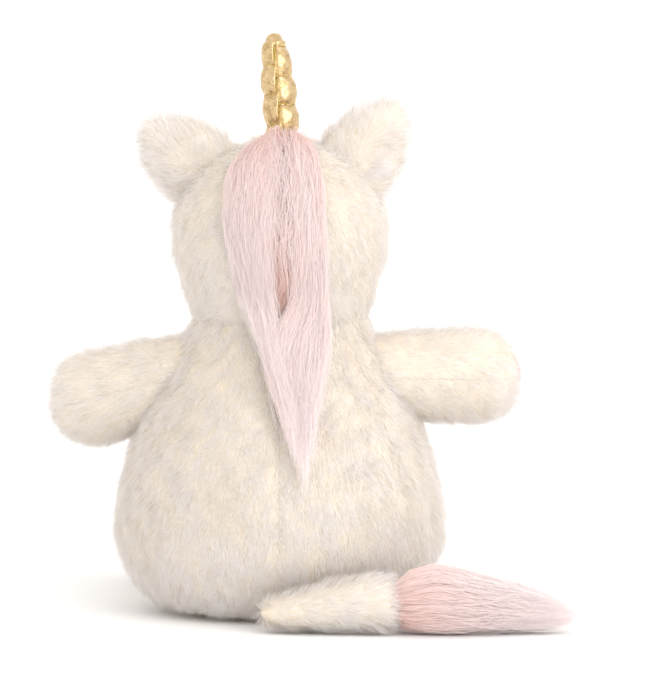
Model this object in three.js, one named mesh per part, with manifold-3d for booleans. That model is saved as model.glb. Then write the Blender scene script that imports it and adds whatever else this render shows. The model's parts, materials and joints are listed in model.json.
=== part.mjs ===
// A sitting plush unicorn, in millimetres. +Z is up, it faces -Y, and its own left is +X.
// The origin is the centre of the flat seat, on the surface that it sits on.
// Each fabric panel, stuffing core, eye, thread and lock of hair is a separate closed solid.
import * as THREE from "three";
import { mergeVertices } from "three/addons/utils/BufferGeometryUtils.js";
import Module from "manifold-3d";

const wasm = await Module();
wasm.setup();

// ---------------------------------------------------------------- driving dimensions
const FABRIC = 5; // thickness of a pile fabric panel
const SLACK = 1.2; // space between a panel and the stuffing behind it
const SEAM = 0.4; // gap between two panels at a seam
const RUNNING = 2; // clearance round a limb root in its socket
const FAR = 400; // half-space boxes reach this far

const TORSO_DEPTH = 0.86; // front-to-back size over side-to-side size
const HEAD_DEPTH = 0.95;

const TORSO_TOP = 175;
const BASE_HEIGHT = 7; // the base panel's seam stands this far above the floor

const NECK_PIVOT = new THREE.Vector3(0, 0, 176);
const NECK_RADIUS = 36; // of the bowl in the torso's top that the head sits in
const NECK_PLUG = { foot: 110, radius: 15, ball: 21 }; // the firm roll of stuffing inside the neck

// Limbs: radius of the root's ball, radius of the tube, length from the pivot, radius of the pad,
// and how blunt the end is, as a share of the tube's radius
const SHOULDER = new THREE.Vector3(56, 0, 143);
const HIP = new THREE.Vector3(50, -58, 34.3);
const ARM = { pivot: SHOULDER, root: 25, girth: 29.5, reach: 92, pad: 20, blunt: 0.95 };
const LEG = { pivot: HIP, root: 30, girth: 33.5, reach: 114, pad: 25, blunt: 0.45 };
// How far each arm points down and forward from straight sideways, in degrees
const ARM_LEFT = { side: 1, droop: 15, forward: 22 };
const ARM_RIGHT = { side: -1, droop: 1, forward: 6 };
const LEG_SPLAY = 7;
const HOOF_PAD_FACING = { out: 0.55, forward: 0.83 };

const HORN = {
  pivot: new THREE.Vector3(-3, -22, 270),
  length: 79,
  base: 11, // radius at the foot
  tip: 5,
  lean: 11, // forward, in degrees
  sideways: 0.09, // lean towards its left, as a slope
  turns: 4,
};
const HORN_ROOT = 10; // radius of the ball at the horn's foot
const HORN_WALL = 1.4;
const HORN_THREAD = 0.55; // radius of the winding thread
const EAR_LEFT = { side: 1, base: new THREE.Vector3(48, -2, 268), tilt: 52, width: 52, height: 40 };
const EAR_RIGHT = { side: -1, base: new THREE.Vector3(46, -2, 271), tilt: 36, width: 52, height: 42 };
const EAR_THICK = 7;
const EAR_LINING_THICK = 4;

const MUZZLE = { centre: new THREE.Vector3(0, -56, 210), size: new THREE.Vector3(33, 36, 26) };
const GUSSET_HALF = 20; // half the width of the strip that runs over the crown
const CHIN_BACK = -25; // the chin panel starts this far in front of the head's middle
const EYE = { x: 35, z: 236, radius: 7.5, shaft: 2.2, shaftLength: 17, washer: 8, washerThick: 1.5 };
const STITCH = 1.1; // radius of the raised satin stitching

const MANE = { nape: 190, start: 4, backingHalf: 11, lockHalf: 29, low: 3.8, high: 10 };
const FALL_THICK = 9; // the hanging end of the mane, at its hinge
const FALL_WIDTH = 50;
const TAIL = { pivot: new THREE.Vector3(0, 97, 17.5), root: 15, girth: 17, reach: 72, tuft: 122, blunt: 0.3 };

// Joint ranges, in degrees from the rest pose, that the sockets are cut to let through
const SWEEP = { armLeft: [-8, 48], armRight: [-18, 30], leg: [0, 30] };

// ---------------------------------------------------------------- materials
const fabric = (color, roughness = 0.95) => new THREE.MeshStandardMaterial({ color, roughness, metalness: 0 });
const CREAM = fabric(0xf3e9df);
const STUFFING = fabric(0xf8f8f4, 1);
const POUCH = fabric(0xe8e4d8);
const PINK_HAIR = fabric(0xf6cfcf, 0.7);
const PINK_BACKING = fabric(0xe9a99c);
const PINK_PAD = fabric(0xeeb6bb, 0.6);
const GOLD = new THREE.MeshStandardMaterial({ color: 0xc9a25a, roughness: 0.28, metalness: 1 });
const THREAD = fabric(0xd9b040, 0.5);
const EYE_PLASTIC = new THREE.MeshStandardMaterial({ color: 0x120d0b, roughness: 0.08, metalness: 0 });
const WASHER_PLASTIC = new THREE.MeshStandardMaterial({ color: 0xe9e9e6, roughness: 0.5, metalness: 0 });
const FACE_THREAD = fabric(0xc98a8e, 0.6);

// ---------------------------------------------------------------- solids
const radians = THREE.MathUtils.degToRad;

function solidOf(geometry) {
  const bare = new THREE.BufferGeometry();
  const source = geometry.index ? geometry.toNonIndexed() : geometry;
  bare.setAttribute("position", source.getAttribute("position"));
  const merged = mergeVertices(bare, 1e-3);
  return new wasm.Manifold(
    new wasm.Mesh({
      numProp: 3,
      vertProperties: merged.attributes.position.array,
      triVerts: new Uint32Array(merged.index.array),
    }),
  );
}

function geometryOf(solid) {
  const mesh = solid.getMesh();
  const geometry = new THREE.BufferGeometry();
  geometry.setAttribute("position", new THREE.BufferAttribute(new Float32Array(mesh.vertProperties), 3));
  geometry.setIndex(new THREE.BufferAttribute(new Uint32Array(mesh.triVerts), 1));
  geometry.computeVertexNormals();
  return geometry;
}

// A cut can leave a sliver beside the panel, so only the largest body is kept.
function largest(solid) {
  return solid.decompose().reduce((a, b) => (a.volume() > b.volume() ? a : b));
}

const root = new THREE.Group();

function part(name, solid, material) {
  const mesh = new THREE.Mesh(geometryOf(largest(solid)), material);
  mesh.name = name;
  root.add(mesh);
}

// A box given by its lowest and highest corners
function block(low, high) {
  const geometry = new THREE.BoxGeometry(high[0] - low[0], high[1] - low[1], high[2] - low[2]);
  geometry.translate((low[0] + high[0]) / 2, (low[1] + high[1]) / 2, (low[2] + high[2]) / 2);
  return solidOf(geometry);
}

function ball(centre, radius, segments = 12) {
  const geometry = new THREE.SphereGeometry(radius, segments, Math.round(segments * 0.7));
  geometry.translate(centre.x, centre.y, centre.z);
  return solidOf(geometry);
}

// A cylinder or cone between two points
function rod(from, to, radius, endRadius = radius, segments = 12) {
  const along = new THREE.Vector3().subVectors(to, from);
  const geometry = new THREE.CylinderGeometry(endRadius, radius, along.length(), segments);
  geometry.translate(0, along.length() / 2, 0);
  const turn = new THREE.Quaternion().setFromUnitVectors(new THREE.Vector3(0, 1, 0), along.normalize());
  geometry.applyQuaternion(turn);
  geometry.translate(from.x, from.y, from.z);
  return solidOf(geometry);
}

// Points of an outline moved outwards by a distance, or inwards by a negative one.
// The first and last points stay on the axis.
function offset(outline, distance) {
  return outline.map((p, i) => {
    const before = outline[Math.max(0, i - 1)];
    const after = outline[Math.min(outline.length - 1, i + 1)];
    const along = new THREE.Vector2().subVectors(after, before).normalize();
    const out = new THREE.Vector2(along.y, -along.x);
    if (i === 0 || i === outline.length - 1) out.set(0, i === 0 ? -1 : 1);
    const moved = p.clone().addScaledVector(out, distance);
    return new THREE.Vector2(i === 0 || i === outline.length - 1 ? 0 : Math.max(0.5, moved.x), moved.y);
  });
}

const outlineOf = (pairs) => pairs.map(([a, b]) => new THREE.Vector2(a, b));

// An outline turned round the Z axis, then scaled from front to back
function turned(outline, depth = 1, segments = 16) {
  const geometry = new THREE.LatheGeometry(outline, segments);
  geometry.rotateX(Math.PI / 2);
  geometry.scale(1, depth, 1);
  return solidOf(geometry);
}

// A smooth outline from the axis, through radius-height pairs, back to the axis
function smoothOutline(bottom, pairs, top, steps) {
  const curve = new THREE.SplineCurve(outlineOf(pairs));
  return [new THREE.Vector2(0, bottom), ...curve.getPoints(steps), new THREE.Vector2(0, top)];
}

// ---------------------------------------------------------------- limbs, each built along +X from its pivot
// The outline of a stuffed limb: a ball at the root, a slightly fatter middle and a rounded end
function limbOutline({ root: ballRadius, girth, reach, blunt }) {
  const points = [];
  const steps = 4;
  for (let i = 0; i <= steps; i++) {
    const angle = (i / steps) * (Math.PI / 2);
    points.push(new THREE.Vector2(ballRadius * Math.sin(angle), -ballRadius * Math.cos(angle)));
  }
  points.push(new THREE.Vector2((ballRadius + girth) / 2, (reach - girth) * 0.35));
  for (let i = 0; i <= steps; i++) {
    const angle = (i / steps) * (Math.PI / 2);
    const cap = girth * blunt;
    points.push(new THREE.Vector2(girth * Math.cos(angle), reach - cap + cap * Math.sin(angle)));
  }
  points[0].x = 0;
  points[points.length - 1].x = 0;
  return points;
}

// Places a solid that was made along +Z so that it points sideways, forward and down from its pivot
function placed(solid, pivot, direction) {
  const turn = new THREE.Quaternion().setFromUnitVectors(new THREE.Vector3(0, 0, 1), direction);
  const matrix = new THREE.Matrix4().compose(pivot, turn, new THREE.Vector3(1, 1, 1));
  return solid.transform(matrix.elements);
}

// The right-handed frame of a limb: where it points, the hinge that it lifts about, and its upper side
function limbFrame(pivot, direction) {
  const hinge = direction.clone().cross(new THREE.Vector3(0, 0, 1)).normalize();
  const up = hinge.clone().cross(direction);
  return { pivot, direction, hinge, up };
}

// Everything that a limb passes through as it swings over its range, with running clearance:
// its outline turned about the hinge, kept between the two end positions, with a ball at the root
function sweptRoom(outline, { pivot, direction, hinge, up }, [low, high]) {
  const roomy = offset(outline, RUNNING).filter((p) => p.y > 0);
  const rootRadius = -outline[0].y + RUNNING;
  const lower = roomy.map((p) => new THREE.Vector2(p.y, -p.x));
  const upper = roomy.map((p) => new THREE.Vector2(p.y, p.x)).reverse();
  const foot = new THREE.Vector2(0, -rootRadius);
  const crown = new THREE.Vector2(0, rootRadius);
  const disc = new THREE.LatheGeometry([foot, ...lower, ...upper.slice(1), crown], 14);
  const reach = 2 * Math.max(...roomy.map((p) => p.y));
  const half = Math.max(...roomy.map((p) => p.x));
  const at = (degrees, along, across) => {
    const angle = radians(degrees);
    const x = along * Math.cos(angle) - across * Math.sin(angle);
    return new THREE.Vector2(x, along * Math.sin(angle) + across * Math.cos(angle));
  };
  const middle = (low + high) / 2;
  const fan = new THREE.Shape([
    at(low, 0, -half),
    at(low, reach, -half),
    at(middle, 2 * reach, 0),
    at(high, reach, half),
    at(high, 0, half),
  ]);
  const wedge = new THREE.ExtrudeGeometry(fan, { depth: 2 * half, steps: 1, bevelEnabled: false });
  wedge.translate(0, 0, -half);
  wedge.rotateX(Math.PI / 2); // the fan's plane becomes X and Z, across the hinge along Y
  const frame = new THREE.Matrix4().makeBasis(direction, hinge, up).setPosition(pivot);
  const swing = solidOf(disc).intersect(solidOf(wedge)).transform(frame.elements);
  return swing.add(ball(pivot, rootRadius));
}

function limb(name, size, frame, pad, range) {
  const outline = limbOutline(size);
  const { pivot, direction, up } = frame;
  const make = (grow) => placed(turned(offset(outline, grow), 1, 12), pivot, direction);
  const shell = make(0).subtract(make(-FABRIC));
  const end = pivot.clone().addScaledVector(direction, size.reach - size.girth * size.blunt);
  const tip = end.clone().addScaledVector(pad.direction, size.girth * 2);
  part(`${name}_${pad.name}`, shell.intersect(rod(end, tip, size.pad)), PINK_PAD);
  const body = shell.subtract(rod(end, tip, size.pad + SEAM));
  const above = placed(block([-FAR, -FAR, 0], [FAR, FAR, FAR]), pivot, up);
  const below = placed(block([-FAR, -FAR, -FAR], [FAR, FAR, -SEAM]), pivot, up);
  part(`${name}_top_panel`, body.intersect(above), CREAM);
  part(`${name}_bottom_panel`, body.intersect(below), CREAM);
  part(`${name}_stuffing`, make(-FABRIC - SLACK), STUFFING);
  return sweptRoom(outline, frame, range);
}

function armDirection({ side, droop, forward }) {
  const level = Math.cos(radians(droop));
  return new THREE.Vector3(
    side * level * Math.cos(radians(forward)),
    -level * Math.sin(radians(forward)),
    -Math.sin(radians(droop)),
  );
}

function arm(name, pose, range) {
  const pivot = ARM.pivot.clone();
  pivot.x *= pose.side;
  const facing = new THREE.Vector3(pose.side * HOOF_PAD_FACING.out, -HOOF_PAD_FACING.forward, 0);
  const pad = { name: "hoof_pad", direction: facing.normalize() };
  return limb(name, ARM, limbFrame(pivot, armDirection(pose)), pad, range);
}

function leg(name, side) {
  const pivot = LEG.pivot.clone();
  pivot.x *= side;
  const direction = new THREE.Vector3(side * Math.sin(radians(LEG_SPLAY)), -Math.cos(radians(LEG_SPLAY)), 0);
  return limb(name, LEG, limbFrame(pivot, direction), { name: "sole_pad", direction }, SWEEP.leg);
}

const armLeftRoom = arm("arm_left", ARM_LEFT, SWEEP.armLeft);
const armRightRoom = arm("arm_right", ARM_RIGHT, SWEEP.armRight);
const legLeftRoom = leg("leg_left", 1);
const legRightRoom = leg("leg_right", -1);

// ---------------------------------------------------------------- torso
const torsoOutline = smoothOutline(
  0,
  [[60, 0], [80, 9], [97, 34], [100, 60], [91, 100], [78, 130], [63, 155], [54, TORSO_TOP]],
  TORSO_TOP,
  9,
);
const neckRoom = ball(NECK_PIVOT, NECK_RADIUS + RUNNING, 16);

function torso() {
  const outer = turned(torsoOutline, TORSO_DEPTH);
  const inner = turned(offset(torsoOutline, -FABRIC), TORSO_DEPTH);
  const core = turned(offset(torsoOutline, -FABRIC - SLACK), TORSO_DEPTH);
  const cutters = [armLeftRoom, armRightRoom, legLeftRoom, legRightRoom, neckRoom];
  const carve = (solid) => cutters.reduce((rest, cutter) => rest.subtract(cutter), solid);
  const shell = outer.subtract(inner);
  const side = SEAM / 2;
  const quarters = [
    ["torso_back_left_panel", [side, side, BASE_HEIGHT + SEAM], [FAR, FAR, FAR]],
    ["torso_back_right_panel", [-FAR, side, BASE_HEIGHT + SEAM], [-side, FAR, FAR]],
    ["torso_front_left_panel", [side, -FAR, BASE_HEIGHT + SEAM], [FAR, -side, FAR]],
    ["torso_front_right_panel", [-FAR, -FAR, BASE_HEIGHT + SEAM], [-side, -side, FAR]],
  ];
  for (const [name, low, high] of quarters) part(name, carve(shell.intersect(block(low, high))), CREAM);
  part("torso_base_panel", carve(shell.intersect(block([-FAR, -FAR, -1], [FAR, FAR, BASE_HEIGHT]))), CREAM);

  // The pouch lies on the base panel, in a recess of the stuffing that is open underneath.
  const pouchFloor = FABRIC + SLACK;
  const pouchOutline = smoothOutline(pouchFloor, [[40, pouchFloor], [52, 14], [48, 27], [26, 34]], 36, 5);
  const pouchBack = 10;
  const pouchTurned = (outline) => turned(outline, TORSO_DEPTH, 12).translate([0, pouchBack, 0]);
  const pouch = pouchTurned(pouchOutline).subtract(legLeftRoom).subtract(legRightRoom);
  part("pellet_pouch", pouch, POUCH);
  const opening = pouchTurned(outlineOf([[0, 0], [42, 0], [42, 14], [0, 14]]));
  const recess = pouchTurned(offset(pouchOutline, SLACK)).add(opening);
  const plugFoot = new THREE.Vector3(0, 0, NECK_PLUG.foot - RUNNING);
  const neckHole = rod(plugFoot, new THREE.Vector3(0, 0, 200), NECK_PLUG.radius + RUNNING);
  part("torso_stuffing", carve(core).subtract(recess).subtract(neckHole), STUFFING);
}
torso();

// ---------------------------------------------------------------- neck plug
// A firm roll of stuffing that stands in the torso and ends in a ball inside the head
const neckColumn = rod(new THREE.Vector3(0, 0, NECK_PLUG.foot), NECK_PIVOT, NECK_PLUG.radius);
part("neck_stuffing", neckColumn.add(ball(NECK_PIVOT, NECK_PLUG.ball)), STUFFING);

// ---------------------------------------------------------------- head
const headOutline = (() => {
  const bowl = [];
  const steps = 4;
  for (let i = 0; i <= steps; i++) {
    const angle = (i / steps) * radians(93);
    const below = NECK_PIVOT.z - NECK_RADIUS * Math.cos(angle);
    bowl.push(new THREE.Vector2(NECK_RADIUS * Math.sin(angle), below));
  }
  bowl[0].x = 0;
  const skull = new THREE.SplineCurve(
    outlineOf([[53, 180], [57, 192], [64.5, 218], [64, 243], [52, 265], [33, 280], [14, 286]]),
  );
  return [...bowl, ...skull.getPoints(9), new THREE.Vector2(0, 287)];
})();
const headSolid = (grow) => turned(offset(headOutline, grow), HEAD_DEPTH);

function ellipsoid(centre, size, grow = 0, segments = 12) {
  const geometry = new THREE.SphereGeometry(1, segments, Math.round(segments * 0.7));
  geometry.scale(size.x + grow, size.y + grow, size.z + grow);
  geometry.translate(centre.x, centre.y, centre.z);
  return solidOf(geometry);
}

// The passage that the neck plug stands in, wide enough for the head to nod round it
const neckMouth = new THREE.Vector3(0, 0, NECK_PIVOT.z - NECK_RADIUS - 4);
const neckPassage = ball(NECK_PIVOT, NECK_PLUG.ball + RUNNING).add(
  rod(NECK_PIVOT, neckMouth, NECK_PLUG.radius + RUNNING, NECK_PLUG.radius + 9),
);

const hornDirection = new THREE.Vector3(
  HORN.sideways,
  -Math.sin(radians(HORN.lean)),
  Math.cos(radians(HORN.lean)),
).normalize();
const hornMouth = HORN.pivot.clone().addScaledVector(hornDirection, 24);
const hornRoom = ball(HORN.pivot, HORN_ROOT + RUNNING, 12).add(
  rod(HORN.pivot, hornMouth, HORN_ROOT + RUNNING, HORN_ROOT + 9),
);

// Where an ear's base line lies, the way the ear points and the line that it flops about
function earFrame({ side, base, tilt }) {
  const at = base.clone();
  at.x *= side;
  const up = new THREE.Vector3(side * Math.sin(radians(tilt)), 0, Math.cos(radians(tilt)));
  const along = new THREE.Vector3(side * Math.cos(radians(tilt)), 0, -Math.sin(radians(tilt)));
  return { at, up, along };
}

function earRoom(ear) {
  const { at, up, along } = earFrame(ear);
  const half = ear.width / 2 + 3;
  const ends = [-half, half].map((reach) => at.clone().addScaledVector(along, reach));
  const groove = rod(...ends, EAR_THICK + 2.5);
  const funnel = rod(at, at.clone().addScaledVector(up, 60), EAR_THICK * 2, ear.width * 0.8, 12);
  return groove.add(funnel);
}

const eyeAxis = (side) => new THREE.Vector3(side * 0.5, -0.86, 0.06).normalize();
// The point on the head's surface, going outwards along the eye's axis from inside the head
function eyeSeat(side) {
  const inside = new THREE.Vector3(side * EYE.x * 0.45, -20, EYE.z);
  const axis = eyeAxis(side);
  const level = 64.2; // the head's radius at the height of the eyes
  const a = (axis.x / level) ** 2 + (axis.y / (level * HEAD_DEPTH)) ** 2;
  const b = 2 * ((inside.x * axis.x) / level ** 2 + (inside.y * axis.y) / (level * HEAD_DEPTH) ** 2);
  const c = (inside.x / level) ** 2 + (inside.y / (level * HEAD_DEPTH)) ** 2 - 1;
  const reach = (-b + Math.sqrt(b * b - 4 * a * c)) / (2 * a);
  return inside.addScaledVector(axis, reach);
}

// Turned pieces of an eye: its outline's height runs along the eye's axis, from the head's surface
function onEyeAxis(outline, side, segments) {
  return placed(turned(outlineOf(outline), 1, segments), eyeSeat(side), eyeAxis(side));
}

function eyeRoom(side) {
  const clear = 0.6;
  const hole = (radius, endRadius, from, to) =>
    onEyeAxis([[0, from], [radius, from], [endRadius, to], [0, to]], side, 8);
  const shaft = hole(EYE.shaft + clear, EYE.shaft + clear, -22, 12);
  const pocket = hole(EYE.washer + 2 * clear, EYE.washer + 2 * clear, -FABRIC - 6, -FABRIC);
  const seat = hole(EYE.radius + clear, EYE.radius + 1, -0.4, 10);
  return { shell: shaft.add(seat), core: shaft.add(pocket) };
}

function head() {
  const outer = headSolid(0);
  const inner = headSolid(-FABRIC);
  const muzzleOuter = ellipsoid(MUZZLE.centre, MUZZLE.size);
  const muzzleInner = ellipsoid(MUZZLE.centre, MUZZLE.size, -FABRIC);
  const muzzleCore = ellipsoid(MUZZLE.centre, MUZZLE.size, -FABRIC - SLACK);
  const muzzleRoom = ellipsoid(MUZZLE.centre, MUZZLE.size, SEAM);
  const ears = [earRoom(EAR_LEFT), earRoom(EAR_RIGHT)];
  const eyes = [eyeRoom(1), eyeRoom(-1)];
  const carve = (solid, which) => {
    const cutters = [neckPassage, hornRoom, ...ears, ...eyes.map((e) => e[which])];
    return cutters.reduce((rest, cutter) => rest.subtract(cutter), solid);
  };
  const shell = carve(outer.subtract(inner).subtract(muzzleRoom), "shell");
  const side = GUSSET_HALF + SEAM;
  part("head_left_panel", shell.intersect(block([side, -FAR, 0], [FAR, FAR, FAR])), CREAM);
  part("head_right_panel", shell.intersect(block([-FAR, -FAR, 0], [-side, FAR, FAR])), CREAM);
  const strip = shell.intersect(block([-GUSSET_HALF, -FAR, 0], [GUSSET_HALF, FAR, FAR]));
  const underMuzzle = block([-FAR, -FAR, 0], [FAR, CHIN_BACK, MUZZLE.centre.z]);
  part("head_crown_gusset", strip.subtract(underMuzzle), CREAM);
  const chinLimit = block([-FAR, -FAR, 0], [FAR, CHIN_BACK - SEAM, MUZZLE.centre.z]);
  part("chin_panel", strip.intersect(chinLimit), CREAM);

  const muzzleShell = muzzleOuter.subtract(muzzleInner).subtract(headSolid(-FABRIC));
  part("muzzle_cover", muzzleShell, CREAM);
  part("muzzle_stuffing", muzzleCore.subtract(headSolid(-FABRIC)), STUFFING);
  const core = headSolid(-FABRIC - SLACK);
  part("head_stuffing", carve(core, "core"), STUFFING);
}
head();

// ---------------------------------------------------------------- face
function eye(name, side) {
  const dome = [];
  const steps = 4;
  for (let i = 0; i <= steps; i++) {
    const angle = (i / steps) * (Math.PI / 2);
    dome.push([EYE.radius * Math.cos(angle), 1 + EYE.radius * 0.62 * Math.sin(angle)]);
  }
  dome[steps][0] = 0;
  const inner = -EYE.shaftLength;
  const outline = [[0, inner], [EYE.shaft, inner], [EYE.shaft, 0], [EYE.radius, 0], ...dome];
  part(`eye_${name}`, onEyeAxis(outline, side, 10), EYE_PLASTIC);
  const hole = EYE.shaft + 0.2;
  const back = -9.6;
  const face = back + EYE.washerThick;
  const washer = [[hole, back], [EYE.washer, back], [EYE.washer, face], [hole, face], [hole, back]];
  part(`eye_washer_${name}`, onEyeAxis(washer, side, 10), WASHER_PLASTIC);
}
eye("left", 1);
eye("right", -1);

// A point of the muzzle's surface, grown outwards, at an angle across and an angle up from its nose
function onMuzzle(across, up, grow) {
  const a = radians(across);
  const u = radians(up);
  return new THREE.Vector3(
    MUZZLE.centre.x + (MUZZLE.size.x + grow) * Math.sin(a) * Math.cos(u),
    MUZZLE.centre.y - (MUZZLE.size.y + grow) * Math.cos(a) * Math.cos(u),
    MUZZLE.centre.z + (MUZZLE.size.z + grow) * Math.sin(u),
  );
}

// A round cord laid along a curve
function cordAlong(points, radius, steps, sides = 6) {
  const section = new THREE.Shape();
  section.absarc(0, 0, radius, 0, Math.PI * 2);
  const geometry = new THREE.ExtrudeGeometry(section, {
    steps,
    curveSegments: Math.ceil(sides / 2),
    bevelEnabled: false,
    extrudePath: new THREE.CatmullRomCurve3(points),
  });
  return solidOf(geometry);
}

function nostril(name, side) {
  const arc = [-1, -0.5, 0, 0.5, 1].map((t) => onMuzzle(side * (24 + 3 * t * t), 18 + 11 * t, STITCH + 1));
  part(`nostril_${name}`, cordAlong(arc, STITCH, 8), FACE_THREAD);
}
nostril("left", 1);
nostril("right", -1);
const smile = [-1, -0.66, -0.33, 0, 0.33, 0.66, 1].map((t) => onMuzzle(30 * t, -26 + 12 * t * t, STITCH + 1));
part("mouth_stitching", cordAlong(smile, STITCH * 0.8, 12), FACE_THREAD);

// ---------------------------------------------------------------- mane
// A knitted strip is sewn down the back of the head, and a lock of hair lies on each side of the parting.
function mane() {
  const { nape, start, backingHalf, lockHalf, low, high } = MANE;
  const over = (from, to) => headSolid(to).subtract(headSolid(from));
  const strip = block([-backingHalf, start + 4, nape + 4], [backingHalf, FAR, FAR]);
  part("mane_backing", over(0.6, low - SEAM).intersect(strip), PINK_BACKING);
  const locks = over(low, high).subtract(hornRoom);
  part("mane_lock_left", locks.intersect(block([SEAM, start, nape], [lockHalf, FAR, FAR])), PINK_HAIR);
  part("mane_lock_right", locks.intersect(block([-lockHalf, start, nape], [-SEAM, FAR, FAR])), PINK_HAIR);
}
mane();

// The free end of the mane hangs behind the back and tapers to a point.
const MANE_HINGE = new THREE.Vector3(0, 63, MANE.nape - 6);
function maneFall() {
  const front = [[MANE_HINGE.y - 3, MANE_HINGE.z], [62, 160], [72, 132], [84, 104], [90, 74]];
  const back = [[94, 74], [92, 106], [81, 134], [70, 162], [MANE_HINGE.y + 4, MANE_HINGE.z]];
  const side = new THREE.Shape(outlineOf([...front, ...back]));
  const slab = new THREE.ExtrudeGeometry(side, { depth: FALL_WIDTH, steps: 1, bevelEnabled: false });
  slab.rotateX(Math.PI / 2);
  slab.rotateZ(Math.PI / 2);
  slab.translate(-FALL_WIDTH / 2, 0, 0);
  const taper = new THREE.Shape(
    outlineOf([[-26, 200], [-27, 150], [-25, 110], [-19, 72], [-13, 72], [-3, 110], [18, 150], [26, 200]]),
  );
  const outline = new THREE.ExtrudeGeometry(taper, { depth: 200, steps: 1, bevelEnabled: false });
  outline.rotateX(Math.PI / 2);
  outline.translate(0, 200, 0);
  const hinge = rod(
    new THREE.Vector3(-24, MANE_HINGE.y, MANE_HINGE.z),
    new THREE.Vector3(24, MANE_HINGE.y, MANE_HINGE.z),
    FALL_THICK / 2,
  );
  part("mane_fall", solidOf(slab).intersect(solidOf(outline)).add(hinge), PINK_HAIR);
}
maneFall();

// ---------------------------------------------------------------- horn
// Radius of the horn at a share of its length: a cone with one swelling for each turn of the thread
function hornRadius(share) {
  const cone = HORN.base + (HORN.tip - HORN.base) * share;
  const swelling = Math.abs(Math.sin(share * HORN.turns * Math.PI));
  return cone * (0.84 + 0.2 * swelling);
}

function horn() {
  const outline = [];
  const ballSteps = 3;
  for (let i = 0; i <= ballSteps; i++) {
    const angle = (i / ballSteps) * (Math.PI / 2);
    outline.push(new THREE.Vector2(HORN_ROOT * Math.sin(angle), -HORN_ROOT * Math.cos(angle)));
  }
  outline[0].x = 0;
  const start = 6;
  const steps = 12;
  const straight = HORN.length - start - HORN.tip;
  for (let i = 0; i <= steps; i++) {
    const share = i / steps;
    outline.push(new THREE.Vector2(hornRadius(share), start + straight * share));
  }
  outline.push(new THREE.Vector2(HORN.tip * 0.6, HORN.length - 1.6));
  outline.push(new THREE.Vector2(0, HORN.length));
  const stand = (solid) => placed(solid, HORN.pivot, hornDirection);
  const outer = turned(outline, 1, 8);
  const inner = turned(offset(outline, -HORN_WALL), 1, 8);
  const mouth = rod(new THREE.Vector3(0, 0, -20), new THREE.Vector3(0, 0, 0), 5);
  part("horn_cover", stand(outer.subtract(inner).subtract(mouth)), GOLD);
  part("horn_stuffing", stand(turned(offset(outline, -HORN_WALL - 0.6), 1, 8)), STUFFING);

  // The winding thread: a helix that lies just outside the cover
  const turnSteps = 8;
  const points = [];
  for (let i = 0; i <= HORN.turns * turnSteps; i++) {
    const share = 0.2 + (i / (HORN.turns * turnSteps)) * 0.75;
    const angle = (i / turnSteps) * 2 * Math.PI;
    const out = hornRadius(share) + HORN_THREAD + 1.1;
    points.push(new THREE.Vector3(out * Math.cos(angle), out * Math.sin(angle), start + straight * share));
  }
  part("horn_thread", stand(cordAlong(points, HORN_THREAD, HORN.turns * turnSteps)), THREAD);
}
horn();

// ---------------------------------------------------------------- ears
// A rounded leaf standing on its base line, with its face to the front
function leaf(width, height, thickness) {
  const half = width / 2;
  const shape = new THREE.Shape();
  shape.moveTo(-half * 0.82, 0);
  shape.bezierCurveTo(-half * 1.12, height * 0.45, -half * 0.6, height, 0, height);
  shape.bezierCurveTo(half * 0.6, height, half * 1.12, height * 0.45, half * 0.82, 0);
  shape.closePath();
  const options = { depth: thickness, bevelEnabled: false, curveSegments: 7 };
  return solidOf(new THREE.ExtrudeGeometry(shape, options));
}

function ear(name, size) {
  const { at, up, along } = earFrame(size);
  // The leaf is drawn with its width along X, its height along Y and its thickness along Z.
  const facing = new THREE.Vector3().crossVectors(along, up);
  const axes = new THREE.Matrix4().makeBasis(along, up, facing).setPosition(at);
  const stand = (solid, shift) => solid.translate([0, 2, shift]).transform(axes.elements);
  const half = size.width / 2;
  const base = rod(
    at.clone().addScaledVector(along, -half * 0.8),
    at.clone().addScaledVector(along, half * 0.8),
    EAR_THICK,
  );
  // A right ear's basis turns the other way round, so that its face would look backwards.
  const front = facing.y < 0 ? 1 : -1;
  const outerShift = front > 0 ? -EAR_THICK : 0;
  const outer = stand(leaf(size.width, size.height, EAR_THICK), outerShift).add(base);
  part(`ear_${name}_outer_panel`, outer, CREAM);
  const liningShift = front > 0 ? SEAM : -EAR_LINING_THICK - SEAM;
  const lining = stand(leaf(size.width * 0.74, size.height * 0.86, EAR_LINING_THICK), liningShift);
  part(`ear_${name}_lining`, lining.subtract(base.add(headSolid(1))), PINK_PAD);
}
ear("left", EAR_LEFT);
ear("right", EAR_RIGHT);

// ---------------------------------------------------------------- tail
// The sleeve lies along -X behind the seat, and the long hair of the tuft runs on from its end.
function tail() {
  const { pivot, reach, tuft } = TAIL;
  const along = new THREE.Vector3(-1, 0.03, 0).normalize();
  const outline = limbOutline(TAIL);
  const make = (grow) => placed(turned(offset(outline, grow), 1, 10), pivot, along);
  const end = pivot.clone().addScaledVector(along, reach);
  const open = rod(end.clone().addScaledVector(along, -FABRIC - 2), end.clone().addScaledVector(along, 9), 9);
  part("tail_sleeve", make(0).subtract(make(-FABRIC)).subtract(open), CREAM);
  part("tail_stuffing", make(-FABRIC - SLACK), STUFFING);
  // The tuft is blunt where it is sewn on and lies down to a point on the floor.
  const lock = smoothOutline(0, [[10, 0], [21, 12], [19, 36], [11, 76], [5, 106]], tuft, 8);
  const lying = new THREE.Vector3(-1, 0, -0.07).normalize();
  const sewn = end.clone().addScaledVector(along, SEAM);
  const floor = block([-FAR, -FAR, 0], [end.x - SEAM, FAR, FAR]);
  part("tail_tuft", placed(turned(lock, 1, 10), sewn, lying).intersect(floor), PINK_HAIR);
}
tail();

export default root;
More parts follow.
